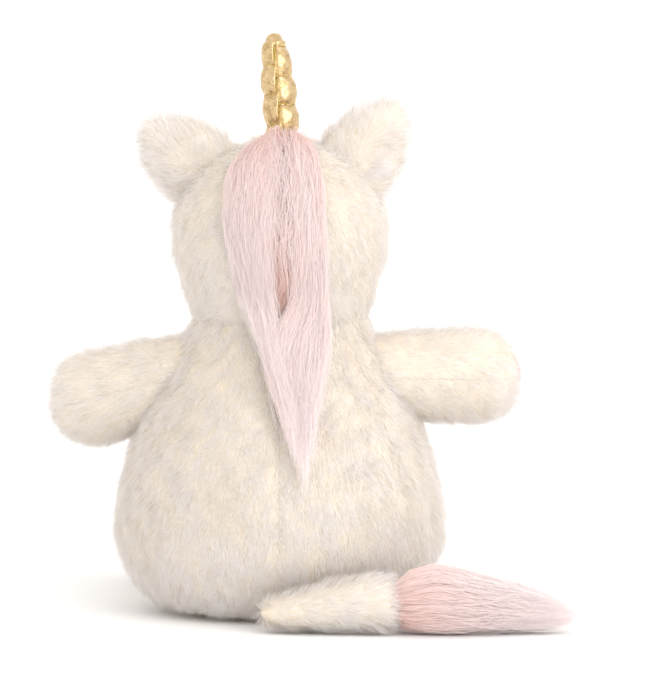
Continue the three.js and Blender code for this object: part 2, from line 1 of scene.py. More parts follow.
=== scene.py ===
"""A sitting plush unicorn, seen from behind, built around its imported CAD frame. Metres, +Z up, it faces -Y.

Each stuffed part is a skin of fabric panels over a stuffing core. The skin is simulated as cloth under pressure,
held at its seams, and real strands of fur are then planted on it, panel by panel.
"""

import json
import math

import bpy
import numpy as np
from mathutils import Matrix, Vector


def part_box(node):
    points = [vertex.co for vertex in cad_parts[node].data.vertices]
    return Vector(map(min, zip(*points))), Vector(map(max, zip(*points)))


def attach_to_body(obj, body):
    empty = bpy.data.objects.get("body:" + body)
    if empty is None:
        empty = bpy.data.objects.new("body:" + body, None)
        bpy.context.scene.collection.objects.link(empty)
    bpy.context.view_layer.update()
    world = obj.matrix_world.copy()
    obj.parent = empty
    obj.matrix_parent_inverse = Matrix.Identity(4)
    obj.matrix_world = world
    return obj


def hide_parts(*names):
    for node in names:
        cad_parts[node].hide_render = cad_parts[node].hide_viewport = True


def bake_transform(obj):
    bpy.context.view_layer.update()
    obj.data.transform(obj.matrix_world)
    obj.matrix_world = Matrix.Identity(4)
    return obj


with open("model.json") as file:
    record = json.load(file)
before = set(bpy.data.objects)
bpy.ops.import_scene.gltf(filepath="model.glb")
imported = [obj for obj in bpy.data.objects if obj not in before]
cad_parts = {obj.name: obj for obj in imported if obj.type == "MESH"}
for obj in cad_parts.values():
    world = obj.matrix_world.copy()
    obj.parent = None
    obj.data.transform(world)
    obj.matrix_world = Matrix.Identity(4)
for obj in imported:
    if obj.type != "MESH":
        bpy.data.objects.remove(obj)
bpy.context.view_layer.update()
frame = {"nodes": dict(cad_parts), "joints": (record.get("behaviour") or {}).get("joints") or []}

SEED = 11
FAR = 1.0  # a distance from a seam at which it pulls nothing in
SEAM = 0.0009  # points nearer to a seam than this are held while the skin is puffed
PILE = 0.0022  # height of the combed pile over its backing
DENSITY = 1.0
WIDER = math.sqrt(max(DENSITY, 0.4))
UV = "OFBake"  # u is a strand's tone and v its place from root to tip, so a map of it is exact
GLOW = 0.45  # the share of a fibre's light that comes through it from its far side
SOFT = 0.9  # how far a strand is shaded like its pile and not like its own face
CLOTH = 0.0012  # thickness of a panel's backing cloth

JOINTS = {j["name"]: j for j in frame["joints"]}
UP = np.array([0.0, 0.0, 1.0])


# ------------------------------------------------------------------ small maths
def unit(v):
    v = np.asarray(v, float)
    return v / np.maximum(np.linalg.norm(v, axis=-1, keepdims=True), 1e-12)


def smoothstep(x, low=0.0, high=1.0):
    t = np.clip((np.asarray(x, float) - low) / (high - low), 0, 1)
    return t * t * (3 - 2 * t)


def around(n):
    """n even angles of a full turn."""
    return np.linspace(0, 2 * math.pi, n, endpoint=False)


def length_of(v):
    return np.linalg.norm(v, axis=1)


def runs(points):
    """How far along a polyline each of its points is."""
    return np.append(0, np.cumsum(length_of(np.diff(points, axis=0))))


def spline(points, n):
    """n points along a smooth curve through these points, at even steps of its parameter."""
    p = np.asarray(points, float)
    p = np.vstack([2 * p[0] - p[1], p, 2 * p[-1] - p[-2]])
    t = np.linspace(0, len(p) - 3, n)
    k = np.minimum(t.astype(int), len(p) - 4)
    f = (t - k)[:, None]
    a, b, c, d = p[k], p[k + 1], p[k + 2], p[k + 3]
    return 0.5 * (2 * b + (c - a) * f + (2 * a - 5 * b + 4 * c - d) * f**2 + (3 * b - a - 3 * c + d) * f**3)


class Drift:
    """Smooth random values over space, from -1 to 1, with features of about the given size."""

    def __init__(self, size, seed, outputs=1, waves=7):
        rng = np.random.default_rng(seed)
        self.k = unit(rng.normal(size=(outputs, waves, 3))) * rng.uniform(0.6, 1.5, (outputs, waves, 1))
        self.k *= 2 * math.pi / size
        self.phase = rng.uniform(0, 2 * math.pi, (outputs, waves))
        self.scale = 1 / math.sqrt(waves)

    def __call__(self, p):
        values = [np.sin(p @ k.T + phase).sum(1) * self.scale for k, phase in zip(self.k, self.phase)]
        return np.clip(np.stack(values, -1), -1, 1)


def pivot(joint):
    return np.array(JOINTS[joint]["pos_m"], float)


def node_points(*nodes):
    return np.array([v.co for n in nodes for v in frame["nodes"][n].data.vertices], float)


def box(node):
    low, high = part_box(node)
    return np.array(low), np.array(high)


# ------------------------------------------------------------------ meshes
def new_object(name, points, triangles, material, uv=None, normals=None):
    """A triangle mesh object from arrays. uv and normals hold one row for each point."""
    points = np.ascontiguousarray(points, np.float32)
    triangles = np.ascontiguousarray(triangles, np.int32)
    mesh = bpy.data.meshes.new(name)
    mesh.vertices.add(len(points))
    mesh.vertices.foreach_set("co", points.ravel())
    mesh.loops.add(triangles.size)
    mesh.loops.foreach_set("vertex_index", triangles.ravel())
    mesh.polygons.add(len(triangles))
    mesh.polygons.foreach_set("loop_start", np.arange(0, triangles.size, 3, dtype=np.int32))
    mesh.polygons.foreach_set("use_smooth", np.full(len(triangles), True))
    if uv is not None:
        layer = mesh.uv_layers.new(name=UV)
        layer.data.foreach_set("uv", np.asarray(uv, np.float32)[triangles.ravel()].ravel())
    mesh.materials.append(material)
    mesh.update(calc_edges=True)
    mesh.validate()
    if normals is not None:
        mesh.normals_split_custom_set_from_vertices(np.asarray(normals, np.float32))
    made = bpy.data.objects.new(name, mesh)
    bpy.context.scene.collection.objects.link(made)
    return made


def halves(a, b, c, d):
    """The two triangles of each four-sided face."""
    return np.vstack([np.stack([a, b, c], 1), np.stack([a, c, d], 1)])


class Skin:
    """A closed grid of quads: rings of points between a first and a last pole."""

    def __init__(self, rings, first, last):
        self.n, self.m = rings.shape[:2]
        self.points = np.vstack([rings.reshape(-1, 3), first, last])
        i, j = np.meshgrid(np.arange(self.n - 1), np.arange(self.m), indexing="ij")
        i, j = i.ravel(), j.ravel()
        k = (j + 1) % self.m
        a, b = i * self.m + j, i * self.m + k
        c, d = b + self.m, a + self.m
        quads = np.stack([np.stack([a, b, c], 1), np.stack([a, c, d], 1)], 1).reshape(-1, 3)
        j = np.arange(self.m)
        k = (j + 1) % self.m
        pole, top = self.n * self.m, (self.n - 1) * self.m
        bottom_fan = np.stack([k, j, np.full(self.m, pole)], 1)
        top_fan = np.stack([top + j, top + k, np.full(self.m, pole + 1)], 1)
        self.triangles = np.vstack([quads, bottom_fan, top_fan])

    def normals(self):
        return point_normals(self.points, self.triangles)

    def centres(self):
        return self.points[self.triangles].mean(1)


def face_normals(points, triangles):
    """Each triangle's normal, twice as long as its area."""
    corner = points[triangles]
    return np.cross(corner[:, 1] - corner[:, 0], corner[:, 2] - corner[:, 0])


def point_normals(points, triangles):
    face = face_normals(points, triangles)
    total = np.zeros_like(points)
    for k in range(3):
        np.add.at(total, triangles[:, k], face)
    return unit(total)


def revolve(outline, axis, origin, depth=1.0, segments=56, across=None):
    """A skin turned about an axis from (radius, height) pairs. depth scales its second direction across the axis."""
    axis = unit(axis)
    if across is None:
        across = np.array([1.0, 0, 0]) if abs(axis[0]) < 0.9 else UP
    u = unit(across - axis * (across @ axis))
    v = np.cross(axis, u)
    angle = around(segments)
    circle = np.cos(angle)[:, None] * u + np.sin(angle)[:, None] * v * depth
    outline = np.asarray(outline, float)
    rings = origin + outline[1:-1, 0][:, None, None] * circle + outline[1:-1, 1][:, None, None] * axis
    return Skin(rings, origin + outline[0, 1] * axis, origin + outline[-1, 1] * axis)


def puff(skin, seam, most=0.0026, frames=12):
    """Fills a skin with stuffing: cloth under pressure, held along its seams. No point moves more than `most`."""
    mesh = bpy.data.meshes.new("puff")
    mesh.from_pydata(skin.points.tolist(), [], skin.triangles.tolist())
    made = bpy.data.objects.new("puff", mesh)
    bpy.context.scene.collection.objects.link(made)
    group = made.vertex_groups.new(name="seam")
    for index, held in enumerate(seam):
        if held > 0:
            group.add([index], float(held), "REPLACE")
    cloth = made.modifiers.new("cloth", "CLOTH")
    settings = cloth.settings
    settings.quality = 4
    settings.mass = 0.2
    settings.tension_stiffness = settings.compression_stiffness = 8
    settings.shear_stiffness = 4
    settings.bending_stiffness = 0.3
    settings.use_pressure = True
    settings.uniform_pressure_force = 5
    settings.vertex_group_mass = "seam"
    settings.effector_weights.gravity = 0
    cloth.collision_settings.use_collision = False
    cloth.point_cache.frame_end = frames
    scene = bpy.context.scene
    for number in range(1, frames + 1):
        scene.frame_set(number)
    evaluated = made.evaluated_get(bpy.context.evaluated_depsgraph_get())
    moved = np.array([v.co for v in evaluated.data.vertices], float) - skin.points
    reach = np.linalg.norm(moved, axis=1, keepdims=True)
    skin.points = skin.points + moved * np.minimum(1, most / np.maximum(reach, 1e-9))
    scene.frame_set(1)
    bpy.data.objects.remove(made)


# ------------------------------------------------------------------ materials
def nodes_of(name):
    material = bpy.data.materials.new(name)
    material.use_nodes = True
    tree = material.node_tree
    return material, tree, tree.nodes["Principled BSDF"]


def adjust(node, **values):
    """Sets a node's own sockets. A socket's name is given with _ for each space."""
    for name, value in values.items():
        node.inputs[name.replace("_", " ")].default_value = value


def ramp(tree, source, stops):
    node = tree.nodes.new("ShaderNodeValToRGB")
    while len(node.color_ramp.elements) < len(stops):
        node.color_ramp.elements.new(0.5)
    for element, (place, colour) in zip(node.color_ramp.elements, stops):
        element.position = place
        element.color = (*colour, 1)
    tree.links.new(source, node.inputs["Fac"])
    return node.outputs["Color"]


def greys(*stops):
    return [(place, (value,) * 3) for place, value in stops]


def multiply(tree, a, b):
    node = tree.nodes.new("ShaderNodeMix")
    node.data_type = "RGBA"
    node.blend_type = "MULTIPLY"
    adjust(node, Factor=1.0)
    tree.links.new(a, node.inputs["A"])
    tree.links.new(b, node.inputs["B"])
    return node.outputs["Result"]


def strand_material(name, root, middle, tip, tones, roughness=0.8, sheen=0.25):
    """Fibre: darker at the root, paler at the tip, with a tone of its own for each strand."""
    material, tree, shader = nodes_of(name)
    place = tree.nodes.new("ShaderNodeUVMap")
    place.uv_map = UV
    split = tree.nodes.new("ShaderNodeSeparateXYZ")
    tree.links.new(place.outputs["UV"], split.inputs["Vector"])
    along = ramp(tree, split.outputs["Y"], [(0.0, root), (0.45, middle), (0.95, tip)])
    tone = ramp(tree, split.outputs["X"], tones)
    tree.links.new(multiply(tree, along, tone), shader.inputs["Base Color"])
    adjust(shader, Roughness=roughness, Specular_IOR_Level=0.25, Sheen_Weight=sheen, Sheen_Roughness=0.5)
    let_light_through(tree, shader)
    return material


def let_light_through(tree, shader):
    """A fibre is thin and clear enough to glow with the light that falls on its far side."""
    behind = tree.nodes.new("ShaderNodeBsdfTranslucent")
    tree.links.new(shader.inputs["Base Color"].links[0].from_socket, behind.inputs["Color"])
    both = tree.nodes.new("ShaderNodeMixShader")
    adjust(both, Fac=GLOW)
    tree.links.new(shader.outputs["BSDF"], both.inputs[1])
    tree.links.new(behind.outputs["BSDF"], both.inputs[2])
    output = next(n for n in tree.nodes if n.type == "OUTPUT_MATERIAL")
    tree.links.new(both.outputs["Shader"], output.inputs["Surface"])


def noise(tree, scale, detail, roughness=0.55):
    where = tree.nodes.new("ShaderNodeTexCoord")
    node = tree.nodes.new("ShaderNodeTexNoise")
    adjust(node, Scale=scale, Detail=detail, Roughness=roughness)
    tree.links.new(where.outputs["Object"], node.inputs["Vector"])
    return node.outputs["Fac"]


def bump(tree, shader, source, strength, distance):
    node = tree.nodes.new("ShaderNodeBump")
    adjust(node, Strength=strength, Distance=distance)
    tree.links.new(source, node.inputs["Height"])
    tree.links.new(node.outputs["Normal"], shader.inputs["Normal"])


def cloth_material(name, dark, light, scale=900, roughness=0.9, sheen=0.2, height=0.0004):
    """Woven or knitted cloth, mottled at the scale of its threads."""
    material, tree, shader = nodes_of(name)
    grain = noise(tree, scale, 3)
    threads = ramp(tree, grain, [(0.3, dark), (0.7, light)])
    patches = ramp(tree, noise(tree, scale / 14, 3), greys((0.2, 0.9), (0.8, 1)))
    tree.links.new(multiply(tree, threads, patches), shader.inputs["Base Color"])
    adjust(shader, Roughness=roughness, Sheen_Weight=sheen)
    bump(tree, shader, grain, 0.6, height)
    return material


def foil_material():
    """Gold foil on a woven cloth: bright, a little crinkled, with small dull and dark flecks. Its gold is darkest,
    near brown, in the crinkles' hollows, which is painted shade.
    """
    material, tree, shader = nodes_of("gold_foil")
    fleck = noise(tree, 1500, 2, 0.6)
    crease = noise(tree, 260, 5, 0.6)
    # Painted shade: the gold turns dark brown where the crinkles' bump is low.
    gold_with_painted_shade = ramp(tree, crease, [(0.3, (0.50, 0.35, 0.17)), (0.5, (0.68, 0.50, 0.27)), (0.8, (0.86, 0.69, 0.44))])
    worn = ramp(tree, fleck, [(0.32, (0.62, 0.55, 0.45)), (0.5, (1, 1, 1))])
    tree.links.new(multiply(tree, gold_with_painted_shade, worn), shader.inputs["Base Color"])
    adjust(shader, Metallic=1.0)
    tree.links.new(ramp(tree, fleck, greys((0.3, 0.42), (0.7, 0.22))), shader.inputs["Roughness"])
    bump(tree, shader, crease, 0.35, 0.0006)
    return material


def glossy_material(name, dark, light, roughness, coat=0.0):
    material, tree, shader = nodes_of(name)
    tree.links.new(ramp(tree, noise(tree, 220, 3), [(0.35, dark), (0.75, light)]), shader.inputs["Base Color"])
    adjust(shader, Roughness=roughness, Coat_Weight=coat, Coat_Roughness=0.04)
    return material


# A strand's tone, from the darkest to the lightest of a pile
CREAM_TONES = [(0.0, (0.955, 0.93, 0.88)), (0.35, (0.985, 0.975, 0.955)), (0.7, (1, 0.995, 0.985)), (1.0, (1, 1, 1))]
PINK_TONES = [(0.0, (0.96, 0.86, 0.83)), (0.4, (0.985, 0.94, 0.93)), (0.75, (1, 0.98, 0.98)), (1.0, (1, 1, 1))]
MATERIAL = {
    "fur": strand_material("cream_fur", (0.975, 0.93, 0.885), (0.991, 0.963, 0.948), (0.996, 0.977, 0.971),
                           CREAM_TONES, 0.85, 0.15),
    "pad_pile": strand_material("pink_pile", (0.88, 0.58, 0.57), (0.94, 0.70, 0.70), (0.97, 0.80, 0.80), PINK_TONES),
    "hair": strand_material("pink_hair", (0.985, 0.81, 0.77), (0.99, 0.905, 0.89), (0.995, 0.95, 0.95),
                            PINK_TONES, 0.5, 0.1),
    "roots": strand_material("pink_roots", (0.96, 0.67, 0.59), (0.98, 0.76, 0.69), (0.99, 0.85, 0.80),
                             PINK_TONES, 0.6),
    # The cream backing is darker and more olive than the pile: painted shade where it shows at partings, hollows and
    # edges.
    "backing": cloth_material("cream_backing_painted_shade", (0.80, 0.70, 0.55), (0.87, 0.79, 0.66)),
    "pink_backing": cloth_material("pink_backing", (0.88, 0.56, 0.48), (0.94, 0.66, 0.59)),
    "pad": cloth_material("pad_cloth", (0.84, 0.55, 0.55), (0.92, 0.67, 0.67), 1400, 0.7, 0.5),
    "stuffing": cloth_material("polyester_filling", (0.78, 0.78, 0.76), (0.93, 0.93, 0.91), 300, 1.0, 0.3, 0.002),
    "pouch": cloth_material("pellet_pouch_cloth", (0.62, 0.58, 0.48), (0.80, 0.76, 0.66), 1800),
    "foil": foil_material(),
    "gold_thread": cloth_material("gold_thread_twist", (0.62, 0.40, 0.05), (0.92, 0.70, 0.18), 3000, 0.45, 0.3),
    "face_thread": cloth_material("rose_thread", (0.50, 0.24, 0.26), (0.68, 0.38, 0.40), 2600, 0.5, 0.3),
    "eye": glossy_material("eye_gloss", (0.010, 0.006, 0.005), (0.035, 0.018, 0.012), 0.12, 0.6),
    "washer": glossy_material("washer_plastic", (0.70, 0.70, 0.68), (0.82, 0.82, 0.80), 0.5),
}


# ------------------------------------------------------------------ strands
def ribbons(name, paths, normals, width, tone, material, rng, twist=0.8, taper=1.2):
    """One mesh of tapered ribbons. paths is strands x levels x 3, and normals is the side that each strand, or each
    of its levels, shows. The shading follows that side more than the ribbon's own face, as light does in a pile."""
    count, levels = paths.shape[:2]
    along = unit(np.gradient(paths, axis=1))
    shown = np.broadcast_to(normals.reshape(count, -1, 3), along.shape)
    side = unit(np.cross(along, shown))
    turn = rng.uniform(-twist, twist, count)[:, None, None]
    side = side * np.cos(turn) + np.cross(along, side) * np.sin(turn)
    t = np.linspace(0, 1, levels)
    half = 0.5 * np.asarray(width)[:, None] * (1 - t[None, :] ** taper * 0.75)
    out = side * half[..., None]
    body = np.stack([paths - out, paths + out], 2)[:, :-1].reshape(count, -1, 3)
    points = np.concatenate([body, paths[:, -1:]], 1)
    per = points.shape[1]
    tip = 2 * (levels - 2)
    ladder = [rung for a in range(0, tip, 2) for rung in ((a, a + 1, a + 3), (a, a + 3, a + 2))]
    triangles = (np.arange(count) * per)[:, None, None] + np.array(ladder + [(tip, tip + 1, tip + 2)])[None]
    place = np.append(np.repeat(t[:-1], 2), 1.0)
    uv = np.empty((count, per, 2))
    uv[..., 0] = np.clip(tone, 0.01, 0.99)[:, None]
    uv[..., 1] = 0.01 + 0.98 * place
    face = np.cross(side, along)
    face *= np.where((face * shown).sum(-1, keepdims=True) < 0, -1, 1)
    face = unit(SOFT * shown + (1 - SOFT) * face)
    shading = np.concatenate([np.repeat(face[:, :-1], 2, axis=1), face[:, -1:]], 1)
    return new_object(name, points.reshape(-1, 3), triangles.reshape(-1, 3), material, uv.reshape(-1, 2),
                      shading.reshape(-1, 3))


def areas(points, triangles):
    return 0.5 * length_of(face_normals(points, triangles))


def scatter(points, triangles, normals, count, rng):
    """Places spread evenly over a surface, with its normal at each."""
    area = areas(points, triangles)
    chosen = rng.choice(len(triangles), count, p=area / area.sum())
    a, b = rng.random((2, count, 1))
    flip = (a + b) > 1
    a, b = np.where(flip, 1 - a, a), np.where(flip, 1 - b, b)
    weights = np.concatenate([1 - a - b, a, b], 1)[..., None]
    at = triangles[chosen]
    return (points[at] * weights).sum(1), unit((normals[at] * weights).sum(1))


def gather(tips, roots, cell, drift):
    """For each strand, the middle of the tips of its clump. Clumps are cells of a warped lattice."""
    key = np.floor((roots + 0.6 * cell * drift(roots)) / cell).astype(np.int64)
    _, clump = np.unique(key, axis=0, return_inverse=True)
    clump = clump.ravel()
    size = np.bincount(clump)
    middle = np.stack([np.bincount(clump, tips[:, k]) / size for k in range(3)], 1)
    return middle[clump], clump


RUFFLED = 0.25  # how far the pile strays from its comb
CLUMPED = 0.1  # how far a strand's tip is drawn to the middle of its clump
FUR_FLOOR = 0.0004  # the lowest that a strand lies over the floor
SWIRL = Drift(0.045, SEED + 1, 3)
RUFFLE = Drift(0.014, SEED + 2, 3)
WARP = Drift(0.011, SEED + 3, 3)
TONE = Drift(0.05, SEED + 4)
LENGTH = Drift(0.02, SEED + 5)


def plant_fur(name, surface, comb, seed, per_mm2=2.2, length=0.0092, material="fur", cell=0.0036, lean=0.8,
              width=0.00023, bare=None, matted=None):
    """A panel's pile: short strands that lean the way `comb` says, a little ruffled and gathered into clumps."""
    points, triangles, normals = surface
    rng = np.random.default_rng([SEED, seed])
    count = max(50, int(areas(points, triangles).sum() * 1e6 * per_mm2 * DENSITY))
    roots, normal = scatter(points, triangles, normals, count, rng)
    if bare is not None:
        keep = ~bare(roots)
        roots, normal = roots[keep], normal[keep]
        count = len(roots)
    loose = RUFFLED * (0.7 * SWIRL(roots) + RUFFLE(roots)) + rng.normal(0, 0.22, (count, 3))
    lay = unit(comb(roots)) + loose
    lay = unit(lay - normal * (lay * normal).sum(1, keepdims=True))
    long = length * (1 + 0.16 * LENGTH(roots)[:, 0] + rng.uniform(-0.2, 0.14, count))
    tilt = lean + 0.15 * RUFFLE(roots * 1.3)[:, :1] + rng.normal(0, 0.16, (count, 1))
    t = np.array([0.0, 0.5, 1.0])[None, :, None]
    out = np.cos(tilt)[:, :, None] * t - 0.16 * t**2
    along = np.sin(tilt)[:, :, None] * t + 0.12 * t**2
    start = roots - normal * 0.0008
    paths = start[:, None] + long[:, None, None] * (out * normal[:, None] + along * lay[:, None])
    middle, clump = gather(paths[:, -1], roots, cell, WARP)
    matting_and_shade = matted(roots)[:, None] if matted else 0.0
    paths = paths + ((CLUMPED + 0.4 * matting_and_shade) * (middle - paths[:, -1]))[:, None] * t**1.6
    paths[..., 2] = np.maximum(paths[..., 2], FUR_FLOOR)
    shade = np.random.default_rng([SEED, seed, 1]).normal(0, 0.07, clump.max() + 1)[clump]
    tone = 0.7 + 0.22 * TONE(roots)[:, 0] + shade + rng.normal(0, 0.1, count)
    # Matting darkens the strands' tone: painted shade for the disturbed pile.
    if matted:
        tone -= matting_and_shade[:, 0] * (0.1 + 1.4 * np.abs(shade))
    wide = width * rng.uniform(0.75, 1.3, count) / WIDER
    return ribbons(name, paths, normal, wide, tone, MATERIAL[material], rng)


def panel(skin, keep):
    """The part of a skin whose triangles' centres pass the test, with its own points and the whole skin's normals."""
    triangles = skin.triangles[keep(skin.centres())]
    used, index = np.unique(triangles, return_inverse=True)
    return skin.points[used], index.reshape(-1, 3), skin.normals()[used]


def shelled(points, triangles, normals):
    """A sheet's points and triangles made into a thin closed solid, with its wrong side and its cut edges."""
    n = len(points)
    edges = np.vstack([triangles[:, [0, 1]], triangles[:, [1, 2]], triangles[:, [2, 0]]])
    _, where, times = np.unique(np.sort(edges, axis=1), axis=0, return_inverse=True, return_counts=True)
    a, b = edges[times[where.ravel()] == 1].T
    wrong_side = triangles[:, ::-1] + n
    walls = halves(b, a, a + n, b + n)
    return np.vstack([points, points - normals * CLOTH]), np.vstack([triangles, wrong_side, walls])


def attach(obj, slot, hold, node=None):
    """hold is a body's name, or (from, to, start, end) for a piece that lies between two bodies, which then only has
    its transform baked. node is the CAD node that the piece stands for, and is hidden."""
    if node:
        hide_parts(node)
    if isinstance(hold, str):
        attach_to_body(obj, hold)
    else:
        a, b, start, end = hold
        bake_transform(obj)


def cover(node, skin, keep, comb, hold, seed, slot="cream_plush", backing="backing", **fur):
    """One fabric panel: its backing cloth, which stands for the CAD panel, and its pile."""
    surface = panel(skin, keep)
    cloth = new_object(node + "_backing", *shelled(*surface), MATERIAL[backing])
    pile = plant_fur(node + "_pile", surface, comb, seed, **fur)
    attach(cloth, slot, hold, node)
    attach(pile, slot, hold)


everything = lambda c: np.ones(len(c), bool)
# The short pile of the pads and the ear linings
PAD = dict(slot="pink_pad", backing="pad", material="pad_pile", per_mm2=3.0, cell=0.004, width=0.00028)


# ------------------------------------------------------------------ shapes measured on the CAD
def outline_of(nodes, origin, axis, depth=1.0):
    """The convex outline of solids turned about an axis, as (radius, height) pairs. depth undoes their flattening."""
    p = node_points(*nodes) - origin
    height = p @ axis
    side = p - np.outer(height, axis)
    side[:, 1] /= depth
    return upper_hull(np.stack([length_of(side), height], 1))


def upper_hull(pairs):
    pairs = pairs[np.lexsort((-pairs[:, 0], pairs[:, 1]))]
    hull = []
    for r, h in pairs:
        while len(hull) > 1:
            (r1, h1), (r2, h2) = hull[-2], hull[-1]
            if (r2 - r1) * (h - h1) > (r - r1) * (h2 - h1):
                break
            hull.pop()
        if not hull or h > hull[-1][1] + 1e-5:
            hull.append((r, h))
    return np.array(hull)


def inset(outline, distance, n, soften=0.005, ends=1.0):
    """An outline closed at both poles, rounded and moved inwards. Its flat ends move by a share of the distance."""
    full = np.vstack([[0, outline[0, 1]], outline, [0, outline[-1, 1]]])
    length = runs(full)
    dense = np.linspace(0, length[-1], 500)
    r, h = np.interp(dense, length, full[:, 0]), np.interp(dense, length, full[:, 1])
    reach = max(3, int(3 * soften / dense[1]))
    weight = np.exp(-0.5 * (np.arange(-reach, reach + 1) * dense[1] / soften) ** 2)
    weight /= weight.sum()
    r = np.convolve(np.concatenate([-r[reach:0:-1], r, -r[-2 : -reach - 2 : -1]]), weight, "valid")
    h = np.convolve(np.concatenate([h[reach:0:-1], h, h[-2 : -reach - 2 : -1]]), weight, "valid")
    dr, dh = np.gradient(r), np.gradient(h)
    size = np.hypot(dr, dh)
    r, h = r - distance * dh / size, h + distance * ends * dr / size
    r = np.maximum(r, 0)
    length = runs(np.stack([r, h], 1))
    even = np.linspace(0, length[-1], n)
    r, h = np.interp(even, length, r), np.interp(even, length, h)
    r[0] = r[-1] = 0
    return np.stack([r, h], 1)


def draw_in(skin, distance, depth=0.0022, width=0.005):
    """Pulls a skin in along a seam. distance holds how far each point is from it."""
    skin.points -= skin.normals() * (depth * np.exp(-((distance / width) ** 2)))[:, None]


def distance_to_line(points, line):
    """The distance from each point to a polyline."""
    best = np.full(len(points), 1e9)
    for a, b in zip(line[:-1], line[1:]):
        ab = b - a
        t = np.clip((points - a) @ ab / (ab @ ab), 0, 1)
        best = np.minimum(best, length_of(points - a - t[:, None] * ab))
    return best


def remeshed(node, voxel):
    """The points and triangles of a CAD solid, cut into even faces."""
    copy = frame["nodes"][node].copy()
    copy.data = copy.data.copy()
    bpy.context.scene.collection.objects.link(copy)
    copy.hide_viewport = False
    remesh = copy.modifiers.new("remesh", "REMESH")
    remesh.mode = "VOXEL"
    remesh.voxel_size = voxel
    mesh = bpy.data.meshes.new_from_object(copy.evaluated_get(bpy.context.evaluated_depsgraph_get()))
    bpy.data.objects.remove(copy)
    mesh.calc_loop_triangles()
    points = np.array([v.co for v in mesh.vertices], float)
    triangles = np.array([t.vertices for t in mesh.loop_triangles], int)
    bpy.data.meshes.remove(mesh)
    return points, triangles


def fibre_fill(node, body, shrink=0.0038, shaped=lambda p: p):
    """A core of teased fibre in the shape of its CAD solid, a little smaller and lumpy."""
    points, triangles = remeshed(node, 0.0035)
    lumps = Drift(0.016, SEED + 40)(points)
    filled = shaped(points - point_normals(points, triangles) * (shrink + 0.0009 * lumps))
    core = new_object(node + "_fibre", filled, triangles, MATERIAL["stuffing"])
    attach(core, "stuffing", body, node)


def within(points, balls):
    """Which points lie in any of some (middle, radius) balls."""
    return np.any([length_of(points - middle) < radius for middle, radius in balls], axis=0)


def away(from_place, reach):
    """How strongly a parting pushes the pile sideways, at signed distances from it. The pile on the line stays."""
    return np.tanh(from_place / (0.4 * reach)) * np.exp(-np.abs(from_place) / reach)


# ------------------------------------------------------------------ torso
TORSO_PANELS = ["torso_back_left_panel", "torso_back_right_panel", "torso_front_left_panel",
                "torso_front_right_panel", "torso_base_panel"]
torso_depth = box("torso_back_left_panel")[1][1] / box("torso_back_left_panel")[1][0]
torso_outline = outline_of(TORSO_PANELS, np.zeros(3), UP, torso_depth)
BASE_SEAM = box("torso_base_panel")[1][2]
NECK = pivot("neck_turn")[2]
# The pile parts over the back's seam, and once more beside the tail: where, how high up, and how wide.
PARTINGS = [(0.003, 0.0, 0.125, 0.006), (-0.020, 0.012, 0.066, 0.005)]


def comb_torso(p):
    lay = np.tile([0.0, 0.0, -1.0], (len(p), 1))
    lay += 0.30 * p * [6, 6, 0]
    behind = smoothstep(p[:, 1], 0.0, 0.04)
    for x, low, high, reach in PARTINGS:
        wander = 0.002 * TONE(p * [0, 0, 1])[:, 0]
        here = smoothstep(p[:, 2], low - 0.01, low + 0.01) * (1 - smoothstep(p[:, 2], high - 0.015, high + 0.01))
        lay[:, 0] += 0.7 * away(p[:, 0] - x - wander, reach) * here * behind
    return lay


def matted_back(p):
    """How much matting the pile has: its clumps drawn tighter and its tone darkened as painted shade. Most of all
    beside the back's seam, on the toy's left, above the tail.
    """
    across = np.exp(-(((p[:, 0] - 0.022) / 0.026) ** 2))
    return across * smoothstep(p[:, 1], 0.0, 0.05) * np.exp(-(((p[:, 2] - 0.088) / 0.042) ** 2))


def torso():
    # The neck of the torso runs on a little way inside the head.
    tucked = np.vstack([torso_outline, [torso_outline[-1, 0] - 0.0005, NECK + 0.012]])
    outline = inset(tucked, PILE, 60, ends=0.3)
    skin = revolve(outline, UP, np.zeros(3), torso_depth, 104)
    p = skin.points
    side_seam = np.where(p[:, 2] > BASE_SEAM, np.minimum(np.abs(p[:, 0]), np.abs(p[:, 1])), FAR)
    base_seam = np.where(p[:, 2] < 0.03, np.abs(p[:, 2] - BASE_SEAM), FAR)
    seam = np.minimum(side_seam, base_seam)
    draw_in(skin, seam, 0.0012)
    puff(skin, (seam < SEAM) | (p[:, 2] < BASE_SEAM) | (p[:, 2] > NECK - 0.004))
    sockets = [(pivot(j), 0.014) for j in ("shoulder_left", "shoulder_right", "hip_left", "hip_right")]
    bare = lambda points: (points[:, 2] > NECK + 0.004) | within(points, sockets)

    for seed, node in enumerate(TORSO_PANELS[:4], 10):
        x, y = 1 if "left" in node else -1, 1 if "back" in node else -1
        keep = lambda c: (c[:, 2] > BASE_SEAM) & (x * c[:, 0] > 0) & (y * c[:, 1] > 0)
        cover(node, skin, keep, comb_torso, "torso", seed, bare=bare, matted=matted_back,
              per_mm2=2.1 if y > 0 else 1.4)
    outwards = lambda p: p * [1, 1, 0] * 12
    cover("torso_base_panel", skin, lambda c: c[:, 2] <= BASE_SEAM, outwards, "torso", 14, per_mm2=0.7, length=0.008,
          lean=1.35)
    fibre_fill("torso_stuffing", "torso")
    fibre_fill("neck_stuffing", "torso", 0.0012)
    pouch()


def pouch():
    """The sewn bag of pellets in the seat, with the pellets showing through its cloth."""
    points, triangles = remeshed("pellet_pouch", 0.002)
    pellets = 0.0005 * Drift(0.005, SEED + 41)(points)
    bag = points - point_normals(points, triangles) * (0.001 + pellets)
    made = new_object("pellet_pouch_cloth", bag, triangles, MATERIAL["pouch"])
    attach(made, "pellet_pouch", "torso", "pellet_pouch")


